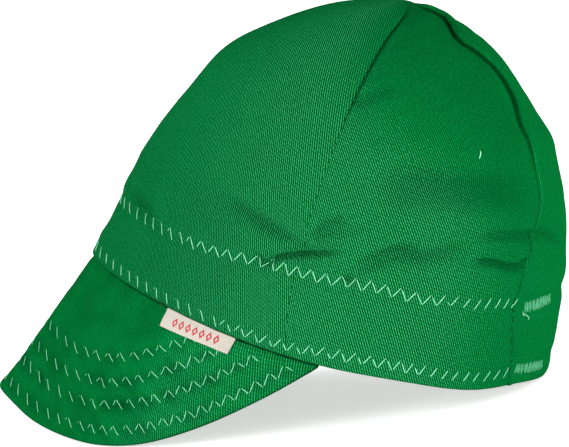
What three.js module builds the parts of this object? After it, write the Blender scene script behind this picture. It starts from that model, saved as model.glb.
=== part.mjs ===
// A cotton welding cap, standing by itself on its soft brim and the back of its hem.
//
// Millimetres and degrees. The cap is shaped in its own frame: +X towards the brim, +Y to the
// wearer's left, +Z up through the crown, z = 0 at the mean height of the hem. It is then pitched
// back until the brim and the hem meet the ground together.
import * as THREE from "three";

// Head opening and crown
const HALF_LENGTH = 104.5;
const HALF_WIDTH = 83;
const FRONT_NARROWING = 0.233;
const CROWN_HEIGHT = 139.2;
const APEX_SET_BACK = 8.5;
const FULLNESS = { front: 1.8, side: 2.2, back: 2.09 };
const TOP_CLIMB = 0.995;

// Cloth
const CROWN_CLOTH = 1.5;
const BAND_CLOTH = 1.2;
const TONGUE_CLOTH = 1.0;
const BRIM_QUILT = 3.0;
const BRIM_EDGE = 1.8;
const LABEL_CLOTH = 0.5;
const GAP = 0.3;
const SEAM_GAP = 0.5;

// Sweatband, seen from outside as the strip between two rows of stitching
const BAND_FOOT = 1.5;
const BAND_TOP = { front: 32.5, back: 37.5 };
const BAND_TIGHTNESS = 1.0;
const BAND_SHOULDER = 6;

// Brim
const BRIM_REACH = 106;
const BEAK_FORWARD = 52;
const BEAK_FADE = 19.8;
const BEAK_CREASE = 4;
const LIP_FLARE = 2;
const LIP_START = 0.86;
const TONGUE_HEIGHT = 7;
const TONGUE_INSET = CROWN_CLOTH + SEAM_GAP + TONGUE_CLOTH / 2;
const QUILT_RUN_IN = 7;
const EDGE_TAPER = 5;

// Label
const LABEL = { from: 63.5, to: 84.8, below: 0.5, height: 8.4, backHeight: 6.9, lean: 0.7 };

// How the cap stands
const REST_PITCH = 22.335;
const REST_SHIFT = -26.534;
const REST_LIFT = 41.916;

const GREEN_TWILL = new THREE.Color("#0b7a3c");
const BAND_GREEN = new THREE.Color("#0a6a35");
const LABEL_WHITE = new THREE.Color("#e6d9cd");

const rad = THREE.MathUtils.degToRad;

// The hem rises and sags as it goes round the head.
const HEM_LINE = [
  { angle: -180, height: -2.8 },
  { angle: -140, height: -0.6 },
  { angle: -100, height: -1.0 },
  { angle: -50, height: -1.4 },
  { angle: 0, height: -2.8 },
  { angle: 25, height: -2.5 },
  { angle: 42, height: -1.8 },
  { angle: 60, height: -1.4 },
  { angle: 78, height: -1.5 },
  { angle: 92, height: -1.5 },
  { angle: 106, height: -1.3 },
  { angle: 125, height: -0.5 },
  { angle: 145, height: -1.6 },
  { angle: 162, height: -0.5 },
  { angle: 180, height: -2.8 },
];

// Where the seams between the four crown panels run, from the hem (climb 0) to the apex (climb 1).
const SEAMS = [
  { climb: 0, front: 0, left: 97.8, back: 158.0, right: 262 },
  { climb: 0.06, front: 0, left: 96.5, back: 156.6, right: 262 },
  { climb: 0.1, front: 0, left: 96.0, back: 155.2, right: 262 },
  { climb: 0.16, front: 0, left: 96.0, back: 154.3, right: 262 },
  { climb: 0.23, front: 0, left: 96.1, back: 157.8, right: 262 },
  { climb: 0.29, front: 0, left: 96.2, back: 161.4, right: 262 },
  { climb: 0.37, front: 0, left: 96.5, back: 165.2, right: 262 },
  { climb: 0.46, front: 0, left: 97.2, back: 164.4, right: 262 },
  { climb: 0.53, front: 0, left: 97.9, back: 164.6, right: 262 },
  { climb: 0.6, front: 0, left: 98.8, back: 169.0, right: 262 },
  { climb: 0.68, front: 0, left: 100.1, back: 168.0, right: 262 },
  { climb: 0.72, front: 0, left: 101.2, back: 163.5, right: 262 },
  { climb: 0.77, front: 0, left: 103.4, back: 151.0, right: 262 },
  { climb: 0.82, front: 0, left: 105.9, back: 153.5, right: 262 },
  { climb: 0.87, front: 0, left: 108.9, back: 168.0, right: 262 },
  { climb: 0.9, front: 0, left: 110.6, back: 185.0, right: 262 },
  { climb: 1, front: 0, left: 115.0, back: 200.0, right: 262 },
];

const PANELS = [
  { name: "crown_panel_front_left", from: "front", to: "left", turn: 0, columns: 16 },
  { name: "crown_panel_rear_left", from: "left", to: "back", turn: 0, columns: 14 },
  { name: "crown_panel_rear_right", from: "back", to: "right", turn: 0, columns: 19 },
  { name: "crown_panel_front_right", from: "right", to: "front", turn: 360, columns: 16 },
];

// How closely the crown is stepped on the way up: finest where the folds lie.
const CLIMB_STEPS = [
  { upTo: 0.1, steps: 3 },
  { upTo: 0.3, steps: 9 },
  { upTo: 0.7, steps: 8 },
  { upTo: TOP_CLIMB, steps: 5 },
];

// Folds in the soft crown. `rise` is the fold's slope as it goes round towards the back, and
// `depth` is how far its valley sinks, below 0 where the cloth puffs out.
const FOLDS = [
  { name: "above_band_front", angle: 41, height: 34, rise: -9, length: 46, width: 8, depth: 2.0 },
  { name: "front_valley", angle: 85, height: 48, rise: -13, length: 36, width: 9, depth: 2.5 },
  { name: "front_band_crease", angle: 93, height: 39, rise: 28, length: 26, width: 6, depth: 2.0 },
  { name: "side_arch", angle: 104, height: 54, rise: 33, length: 22, width: 7, depth: 2.0 },
  { name: "side_wave", angle: 120, height: 50, rise: 24, length: 34, width: 7, depth: 2.2 },
  { name: "rear_crease", angle: 150, height: 51, rise: -4, length: 30, width: 6, depth: 2.3 },
  { name: "rear_fold", angle: 157, height: 62, rise: 0, length: 58, width: 8, depth: 1.6 },
  { name: "rear_smile", angle: 138, height: 78, rise: 6, length: 74, width: 14, depth: 2.8 },
  { name: "right_valley", angle: 278, height: 46, rise: 14, length: 38, width: 9, depth: 2.2 },
  { name: "right_crease", angle: 214, height: 52, rise: 4, length: 44, width: 8, depth: 2.0 },
  { name: "right_smile", angle: 228, height: 80, rise: -8, length: 70, width: 14, depth: 2.4 },
  { name: "rear_top_flat", angle: 189, height: 114, rise: 0, length: 95, width: 42, depth: 2.7 },
  { name: "rear_puff", angle: 189, height: 95, rise: 0, length: 66, width: 15, depth: -1.8 },
  { name: "front_puff", angle: 33, height: 102, rise: 0, length: 123, width: 37, depth: -3.7 },
  { name: "front_flare", angle: 0, height: -8, rise: 0, length: 80, width: 42, depth: -7.0 },
];

// How far the brim's outer edge hangs below the hem's level, from its centre crease round one side.
const BRIM_DROP = [
  { angle: 0, drop: 81 },
  { angle: 8, drop: 80.5 },
  { angle: 20, drop: 82 },
  { angle: 35, drop: 79.3 },
  { angle: 50, drop: 73 },
  { angle: 65, drop: 61.6 },
  { angle: 80, drop: 43.8 },
  { angle: 95, drop: 21.2 },
  { angle: BRIM_REACH, drop: 2.5 },
];
const BRIM_ANGLES = [
  0, 2, 4, 7, 11, 16, 22, 28, 34, 40, 46, 52, 58, 64, 70, 76, 82, 88, 94, 100, BRIM_REACH,
];

/** A smooth curve through a table: its `value` column against its `key` column. */
function smoothCurve(rows, key, value) {
  const at = rows.map((row) => row[key]);
  const level = rows.map((row) => row[value]);
  const last = rows.length - 1;
  const slope = at.map((_, i) => {
    const before = Math.max(i - 1, 0);
    const after = Math.min(i + 1, last);
    return (level[after] - level[before]) / (at[after] - at[before]);
  });
  return (x) => {
    const held = THREE.MathUtils.clamp(x, at[0], at[last]);
    const i = Math.min(Math.max(at.findIndex((start) => start > held) - 1, 0) || 0, last - 1);
    const cell = held >= at[last] ? last - 1 : i;
    const span = at[cell + 1] - at[cell];
    const t = (held - at[cell]) / span;
    const rest = 1 - t;
    return (
      level[cell] * rest * rest * (1 + 2 * t) +
      level[cell + 1] * t * t * (3 - 2 * t) +
      span * t * rest * (slope[cell] * rest - slope[cell + 1] * t)
    );
  };
}

const hemCurve = smoothCurve(HEM_LINE, "angle", "height");
const brimDrop = smoothCurve(BRIM_DROP, "angle", "drop");
const seamCurve = Object.fromEntries(
  ["front", "left", "back", "right"].map((seam) => [seam, smoothCurve(SEAMS, "climb", seam)]),
);

/** An angle brought into -180 to 180 degrees. */
const wrapped = (angle) => THREE.MathUtils.euclideanModulo(angle + 180, 360) - 180;

/** Height of the hem at an angle round the head. */
const hemHeight = (angle) => hemCurve(wrapped(angle));

/** The egg-shaped head opening at an angle, before any height. */
function opening(angle) {
  const c = Math.cos(rad(angle));
  const s = Math.sin(rad(angle));
  return new THREE.Vector3(HALF_LENGTH * c, HALF_WIDTH * s * (1 - FRONT_NARROWING * c), 0);
}

/** The level direction that points straight out of the head opening. */
function outward(angle) {
  const along = opening(angle + 0.05).sub(opening(angle - 0.05));
  return new THREE.Vector3(along.y, -along.x, 0).normalize();
}

/** The crown's smooth form: angle round the head, climb 0 at the hem to 1 at the apex. */
function crownForm(angle, climb) {
  const c = Math.cos(rad(angle));
  const end = c > 0 ? FULLNESS.front : FULLNESS.back;
  const power = 2 / (FULLNESS.side + (end - FULLNESS.side) * c * c);
  const rise = Math.sin(rad(90 * climb)) ** power;
  const spread = Math.cos(rad(90 * climb)) ** power;
  const hem = hemHeight(angle) * (1 - THREE.MathUtils.smoothstep(climb, 0, 1 / 3));
  const point = opening(angle).multiplyScalar(spread);
  point.x -= APEX_SET_BACK * rise * rise;
  point.z = CROWN_HEIGHT * rise + hem;
  return point;
}

/** The outward normal of the crown's smooth form. */
function crownNormal(angle, climb) {
  const low = Math.max(climb - 0.002, 0);
  const round = crownForm(angle + 0.2, climb).sub(crownForm(angle - 0.2, climb));
  const up = crownForm(angle, climb + 0.002).sub(crownForm(angle, low));
  return round.cross(up).normalize();
}

/** Height of the sweatband's top edge above the hem at an angle. */
function bandTop(angle) {
  return THREE.MathUtils.mapLinear(Math.cos(rad(angle)), 1, -1, BAND_TOP.front, BAND_TOP.back);
}

/** How far the soft cloth stands off its smooth form: folds sink, and the band is drawn in. */
function relief(angle, form) {
  const reach = Math.hypot(form.x, form.y);
  const edge = bandTop(angle);
  const clear = THREE.MathUtils.smoothstep(form.z, edge - BAND_SHOULDER, edge + BAND_SHOULDER);
  let height = BAND_TIGHTNESS * (clear - 1);
  for (const fold of FOLDS) {
    const round = rad(wrapped(angle - fold.angle)) * reach;
    const up = form.z - fold.height;
    const tilt = rad(fold.rise);
    const along = round * Math.cos(tilt) + up * Math.sin(tilt);
    const across = up * Math.cos(tilt) - round * Math.sin(tilt);
    const fade = Math.exp(-((along / (fold.length / 2)) ** 2));
    height -= fold.depth * fade * Math.exp(-((across / (fold.width / 2)) ** 2));
  }
  return height;
}

/** A point of the crown's cloth, `inset` below its outer face. */
function crownCloth(angle, climb, inset) {
  const form = crownForm(angle, climb);
  const standOff = relief(angle, form) - inset;
  return form.addScaledVector(crownNormal(angle, climb), standOff);
}

/** The climb at which the crown stands `height` above the hem at an angle. */
function climbAt(angle, height) {
  let low = 0;
  let high = 0.5;
  for (let pass = 0; pass < 24; pass += 1) {
    const middle = (low + high) / 2;
    if (crownForm(angle, middle).z - hemHeight(angle) < height) low = middle;
    else high = middle;
  }
  return (low + high) / 2;
}

/**
 * One solid from two skins over the same grid. `skin(inner, i, j)` gives the points: i runs
 * anticlockwise seen from above and j upwards. A ring joins its last column to its first.
 */
function slab(columns, rows, skin, ring = false) {
  const across = ring ? columns : columns + 1;
  const index = (inner, i, j) => (Number(inner) * (rows + 1) + j) * across + (i % across);
  const points = [];
  for (const inner of [false, true]) {
    for (let j = 0; j <= rows; j += 1) {
      for (let i = 0; i < across; i += 1) points.push(...skin(inner, i, j).toArray());
    }
  }
  const faces = [];
  const quad = (a, b, c, d) => faces.push(a, b, c, a, c, d);
  for (let i = 0; i < columns; i += 1) {
    for (let j = 0; j < rows; j += 1) {
      quad(index(false, i, j), index(false, i + 1, j), index(false, i + 1, j + 1), index(false, i, j + 1));
      quad(index(true, i, j), index(true, i, j + 1), index(true, i + 1, j + 1), index(true, i + 1, j));
    }
    quad(index(true, i, 0), index(true, i + 1, 0), index(false, i + 1, 0), index(false, i, 0));
    quad(index(false, i, rows), index(false, i + 1, rows), index(true, i + 1, rows), index(true, i, rows));
  }
  if (!ring) {
    for (let j = 0; j < rows; j += 1) {
      quad(index(true, 0, j), index(false, 0, j), index(false, 0, j + 1), index(true, 0, j + 1));
      quad(
        index(false, columns, j), index(true, columns, j),
        index(true, columns, j + 1), index(false, columns, j + 1),
      );
    }
  }
  const geometry = new THREE.BufferGeometry();
  geometry.setAttribute("position", new THREE.Float32BufferAttribute(points, 3));
  geometry.setIndex(faces);
  return geometry;
}

/** The climbs at which the crown panels are stepped. */
function climbStations() {
  const stations = [0];
  for (const { upTo, steps } of CLIMB_STEPS) {
    const start = stations.at(-1);
    for (let k = 1; k <= steps; k += 1) stations.push(start + ((upTo - start) * k) / steps);
  }
  return stations;
}

/** One crown panel, cut back from its seams by half a gap on each side. */
function crownPanel({ from, to, turn, columns }) {
  const stations = climbStations();
  return slab(columns, stations.length - 1, (inner, i, j) => {
    const climb = stations[j];
    const start = seamCurve[from](climb);
    const end = seamCurve[to](climb) + turn;
    const middle = crownForm((start + end) / 2, climb);
    const trim = THREE.MathUtils.radToDeg(GAP / 2 / Math.hypot(middle.x + APEX_SET_BACK, middle.y));
    const angle = THREE.MathUtils.mapLinear(i, 0, columns, start + trim, end - trim);
    return crownCloth(angle, climb, inner ? CROWN_CLOTH : 0);
  });
}

/** The sweatband, a ring of cloth that lies inside the foot of the crown. */
function sweatband() {
  const columns = 66;
  const rows = 4;
  const insetAtFoot = CROWN_CLOTH + TONGUE_CLOTH + 2 * SEAM_GAP;
  const insetAtTop = CROWN_CLOTH + SEAM_GAP;
  return slab(columns, rows, (inner, i, j) => {
    const angle = (360 * i) / columns;
    const height = THREE.MathUtils.lerp(BAND_FOOT, bandTop(angle), j / rows);
    const above = THREE.MathUtils.smoothstep(height, TONGUE_HEIGHT, bandTop(angle));
    const inset = THREE.MathUtils.lerp(insetAtFoot, insetAtTop, above);
    return crownCloth(angle, climbAt(angle, height), inset + (inner ? BAND_CLOTH : 0));
  }, true);
}

/** Where the brim leaves the hem: the middle of its thickness, just inside the crown's cloth. */
function brimRoot(angle) {
  return crownCloth(angle, 0, TONGUE_INSET);
}

/** How far the brim is drawn forward at an angle, as a share: most at its softly rounded centre crease. */
const beakShare = (angle) => Math.exp(-Math.hypot(angle, BEAK_CREASE) / BEAK_FADE);

/** The brim's outer edge, which runs forward to a creased point at the centre. */
function brimEdge(angle) {
  const forward = BEAK_FORWARD * beakShare(angle) - TONGUE_INSET;
  const edge = opening(angle).addScaledVector(outward(angle), forward);
  edge.z = -brimDrop(Math.abs(angle));
  return edge;
}

/** Middle of the brim's thickness, `down` millimetres from the hem (below 0 on the tongue). */
function brimMiddle(angle, down) {
  if (down < 0) return crownCloth(angle, climbAt(angle, -down), TONGUE_INSET);
  const root = brimRoot(angle);
  const fall = brimEdge(angle).sub(root);
  const share = down / fall.length();
  const flare = LIP_FLARE * beakShare(angle) * THREE.MathUtils.smoothstep(share, LIP_START, 1);
  return root.addScaledVector(fall, share).addScaledVector(outward(angle), flare);
}

/** The brim's outward normal. */
function brimNormal(angle, down) {
  const round = brimMiddle(angle + 0.4, down).sub(brimMiddle(angle - 0.4, down));
  const up = brimMiddle(angle, down - 0.3).sub(brimMiddle(angle, down + 0.3));
  return round.cross(up).normalize();
}

/** The brim's thickness: a thin tongue in the seam, a quilted body and a tapered edge. */
function brimThickness(down, length) {
  const filled = THREE.MathUtils.smoothstep(down, 0.5, QUILT_RUN_IN);
  const full = THREE.MathUtils.smoothstep(length - down, -EDGE_TAPER / 2, EDGE_TAPER);
  const body = THREE.MathUtils.lerp(TONGUE_CLOTH, BRIM_QUILT, filled);
  return Math.min(body, THREE.MathUtils.lerp(BRIM_EDGE, BRIM_QUILT, full));
}

/** How far the brim reaches from the hem to its edge at an angle. */
const brimLength = (angle) => brimEdge(angle).distanceTo(brimRoot(angle));

/** The quilted brim, with a tongue that is sewn in between the crown and the sweatband. */
function brim() {
  const angles = [...BRIM_ANGLES.slice(1).reverse().map((angle) => -angle), ...BRIM_ANGLES];
  const shares = [1, 0.97, 0.93, 0.86, 0.72, 0.54, 0.36, 0.18, 0.08, 0.03];
  const tongue = [0, -TONGUE_HEIGHT / 2, -TONGUE_HEIGHT];
  const rows = shares.length + tongue.length - 1;
  return slab(angles.length - 1, rows, (inner, i, j) => {
    const angle = angles[i];
    const length = brimLength(angle);
    const down = j < shares.length ? length * shares[j] : tongue[j - shares.length];
    const half = brimThickness(down, length) / 2;
    return brimMiddle(angle, down).addScaledVector(brimNormal(angle, down), inner ? -half : half);
  });
}

/** The label, whose top edge is caught in the hem seam and which lies on the brim. */
function label() {
  const columns = 8;
  const rows = 3;
  return slab(columns, rows, (inner, i, j) => {
    const hang = 1 - j / rows;
    const angle = THREE.MathUtils.lerp(LABEL.from, LABEL.to, i / columns) - LABEL.lean * hang;
    const height = THREE.MathUtils.lerp(LABEL.height, LABEL.backHeight, i / columns);
    const down = LABEL.below + height * hang;
    const standOff = brimThickness(down, brimLength(angle)) / 2 + GAP + (inner ? 0 : LABEL_CLOTH);
    return brimMiddle(angle, down).addScaledVector(brimNormal(angle, down), standOff);
  });
}

/** A named sub-part with its own cloth. */
function piece(name, geometry, color) {
  const material = new THREE.MeshStandardMaterial({ color, roughness: 0.9, metalness: 0 });
  const mesh = new THREE.Mesh(geometry, material);
  mesh.name = name;
  return mesh;
}

const cap = new THREE.Group();
for (const panel of PANELS) cap.add(piece(panel.name, crownPanel(panel), GREEN_TWILL));
cap.add(piece("sweatband", sweatband(), BAND_GREEN));
cap.add(piece("brim", brim(), GREEN_TWILL));
cap.add(piece("label", label(), LABEL_WHITE));
cap.rotation.y = -rad(REST_PITCH);
cap.position.set(REST_SHIFT, 0, REST_LIFT);

const standing = new THREE.Group();
standing.add(cap);
export default standing;
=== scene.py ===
"""A green cotton welding cap: sewn twill crown, sweatband and quilted brim, dressed on its frame."""
import logging
import math
from collections.abc import Callable, Sequence
from dataclasses import dataclass, field
from enum import Enum
from functools import partial

import bpy
import numpy as np
from mathutils import Matrix, Vector


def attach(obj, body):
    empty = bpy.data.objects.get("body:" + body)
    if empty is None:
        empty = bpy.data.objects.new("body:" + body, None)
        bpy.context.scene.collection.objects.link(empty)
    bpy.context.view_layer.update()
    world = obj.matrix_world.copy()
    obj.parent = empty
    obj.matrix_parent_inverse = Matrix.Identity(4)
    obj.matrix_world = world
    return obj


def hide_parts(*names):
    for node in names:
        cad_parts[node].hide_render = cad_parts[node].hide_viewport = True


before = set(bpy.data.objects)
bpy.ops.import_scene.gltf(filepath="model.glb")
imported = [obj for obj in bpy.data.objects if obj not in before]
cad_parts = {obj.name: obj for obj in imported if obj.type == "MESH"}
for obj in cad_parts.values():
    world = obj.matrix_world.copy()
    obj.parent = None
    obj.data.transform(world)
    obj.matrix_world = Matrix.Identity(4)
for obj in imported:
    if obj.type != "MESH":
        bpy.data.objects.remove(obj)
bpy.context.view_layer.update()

MM = 0.001
BODY = "root"
IMAGE_WIDTH = 569
NOISE_CELLS = 64
SENSOR_WIDTH = 36.0
log = logging.getLogger("welding_cap")

Array = np.ndarray
Material = bpy.types.Material
Table = Sequence[Sequence[float]]
Placing = Callable[[Array, Array], tuple[Array, Array]]


# --- small helpers
def srgb(code: str) -> tuple[float, float, float, float]:
    """A hex colour as the linear RGBA that shaders take.

    Args:
        code: Six hex digits after a hash sign.

    Returns:
        Linear red, green, blue and an alpha of 1.
    """
    levels = [int(code[k : k + 2], 16) / 255 for k in (1, 3, 5)]
    red, green, blue = (v / 12.92 if v <= 0.04045 else ((v + 0.055) / 1.055) ** 2.4 for v in levels)
    return red, green, blue, 1.0


def smoothstep(x: Array, low: float, high: float) -> Array:
    """0 below low, 1 above high, and a smooth turn between them."""
    t = np.clip((np.asarray(x, float) - low) / (high - low), 0, 1)
    return t * t * (3 - 2 * t)


def bell(x: Array, width: float | Array) -> Array:
    """A smooth bump of height 1 round 0 that has sunk to a third at width."""
    return np.exp(-((x / width) ** 2))


def unit(vectors: Array) -> Array:
    """The vectors with a length of 1."""
    return vectors / np.linalg.norm(vectors, axis=-1, keepdims=True)


def smooth_curve(table: Table, x: Array, column: int = 1) -> Array:
    """A smooth curve through a table's rows, held level past both ends.

    Args:
        table: The rows, in rising order of their first number.
        x: Where to read the curve, as values of that first number.
        column: Which number of the rows to read.

    Returns:
        The curve's value at each x.
    """
    at, level = np.array(table, float)[:, [0, column]].T
    last = len(at) - 1
    before = np.maximum(np.arange(last + 1) - 1, 0)
    after = np.minimum(np.arange(last + 1) + 1, last)
    slope = (level[after] - level[before]) / (at[after] - at[before])
    held = np.clip(np.asarray(x, float), at[0], at[last])
    cell = np.clip(np.searchsorted(at, held, side="right") - 1, 0, last - 1)
    span = at[cell + 1] - at[cell]
    t = (held - at[cell]) / span
    rest = 1 - t
    ends = level[cell] * rest**2 * (1 + 2 * t) + level[cell + 1] * t**2 * (3 - 2 * t)
    return ends + span * t * rest * (slope[cell] * rest - slope[cell + 1] * t)


def smooth_path(points: Table, count: int) -> list[Array]:
    """Each coordinate of a smooth path through a few points, read at a number of even steps.

    Args:
        points: The points, in order.
        count: How many steps are read.

    Returns:
        One array for each coordinate.
    """
    table = [(number, *point) for number, point in enumerate(points)]
    at = np.linspace(0, len(table) - 1, count)
    return [smooth_curve(table, at, column) for column in range(1, len(table[0]))]


def straight_curve(table: Table, x: Array, column: int = 1) -> Array:
    """A table's value at x, on straight lines between its rows."""
    columns = list(zip(*table))
    return np.interp(x, columns[0], columns[column])


def wrapped(angle: Array) -> Array:
    """Angles in degrees, brought to between -180 and 180."""
    return np.mod(np.asarray(angle) + 180, 360) - 180


def cos_sin(degrees: float) -> tuple[float, float]:
    """The cosine and sine of an angle in degrees."""
    return math.cos(math.radians(degrees)), math.sin(math.radians(degrees))


def between(ends: tuple[float, float], share: Array) -> Array:
    """From the first of two numbers to the second as the share goes from 0 to 1."""
    return ends[0] + (ends[1] - ends[0]) * share


def run_along(line: Array, step: Array | float = 1.0) -> Array:
    """How far along a line of points each one lies, counted in steps of a given length."""
    return np.concatenate([[0], np.cumsum(np.linalg.norm(np.diff(line, axis=0), axis=-1) / step)])


def cloth_noise(u: Array, v: Array, grain: float, seed: int) -> Array:
    """Smooth repeatable noise from about -1 to 1 over two coordinates.

    Args:
        u: First coordinate, in mm.
        v: Second coordinate, in mm.
        grain: Distance between one lump and the next, in mm.
        seed: Which noise it is.

    Returns:
        The noise at each point.
    """
    lattice = np.random.default_rng(seed).uniform(-1, 1, (NOISE_CELLS, NOISE_CELLS))
    a, b = np.asarray(u, float) / grain, np.asarray(v, float) / grain
    i, j = np.floor(a).astype(int), np.floor(b).astype(int)
    s, t = smoothstep(a - i, 0, 1), smoothstep(b - j, 0, 1)

    def knot(di: int, dj: int) -> Array:
        """The lattice value at a corner of the cell."""
        return lattice[(i + di) % NOISE_CELLS, (j + dj) % NOISE_CELLS]

    low = knot(0, 0) * (1 - s) + knot(1, 0) * s
    high = knot(0, 1) * (1 - s) + knot(1, 1) * s
    return low * (1 - t) + high * t


def spaced(length: float, step: float, edge: Sequence[float], both: bool = True) -> Array:
    """Stations from 0 to 1 along a length, closer together at its rounded edges.

    Args:
        length: The whole length, in mm.
        step: The usual spacing, in mm.
        edge: Distances of the first stations from an edge, in mm.
        both: Whether the far end is an edge too.

    Returns:
        The stations, rising from 0 to 1.
    """
    near = np.array(edge) / length
    inner_end = 1 - near[-1] if both else 1.0
    count = max(int(round(length * (inner_end - near[-1]) / step)), 2)
    middle = np.linspace(near[-1], inner_end, count + 1)
    far = 1 - near[::-1][1:] if both else np.array([])
    return np.concatenate([near, middle[1:], far])


def add_node(
    tree: bpy.types.NodeTree,
    kind: str,
    inputs: dict[str | int, object] | None = None,
    output: str | int = 0,
    **settings: object,
) -> bpy.types.NodeSocket:
    """Adds a shader node with its links and settings.

    Args:
        tree: The node tree that gets it.
        kind: The node's type name, without the ShaderNode in front.
        inputs: For each input, an output socket to link to it or a value to set on it.
        output: Which of the node's outputs is wanted.
        settings: Values for the node's own properties.

    Returns:
        That output of the new node.
    """
    node = tree.nodes.new("ShaderNode" + kind)
    for name, value in settings.items():
        setattr(node, name, value)
    for name, value in (inputs or {}).items():
        if isinstance(value, bpy.types.NodeSocket):
            tree.links.new(value, node.inputs[name])
        else:
            node.inputs[name].default_value = value
    return node.outputs[output]


def new_material(name: str, roughness: float, specular: float) -> Material:
    """A plain material with its roughness and specular level set.

    Args:
        name: The material's name.
        roughness: Roughness of its surface.
        specular: Specular level, 0.5 for a usual plastic or lacquer.

    Returns:
        The new material.
    """
    material = bpy.data.materials.new(name)
    material.use_nodes = True
    shader = material.node_tree.nodes["Principled BSDF"]
    shader.inputs["Roughness"].default_value = roughness
    shader.inputs["Specular IOR Level"].default_value = specular
    return material


# --- the cap's form
class Seam(Enum):
    """The four seams between the crown's panels, named as the columns of a seam row are."""

    FRONT = "front"
    LEFT = "left"
    BACK = "back"
    RIGHT = "right"


@dataclass(frozen=True)
class SeamRow:
    """The angles at which the four seams stand at one climb, from 0 at the hem to 1 at the apex."""

    climb: float
    left: float
    back: float
    front: float = 0.0
    right: float = 262.0


@dataclass(frozen=True)
class Dent:
    """A broad soft fold of the crown, as the solid crown has it.

    Angles are in degrees round the head and sizes in millimetres. rise is the fold's slope as it
    goes round towards the back, and depth is below 0 where the cloth puffs out.
    """

    angle: float
    height: float
    rise: float
    length: float
    width: float
    depth: float


@dataclass(frozen=True)
class Crease:
    """A sharp crease, run through a few points of the crown or pressed in from a ridge.

    path holds (angle, height above the hem's level) pairs. below and above are the half widths
    of the valley's two sides, and lip is how far the cloth stands up just above it.
    """

    path: Table
    depth: float
    below: float
    above: float
    lip: float = 0.0


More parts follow.
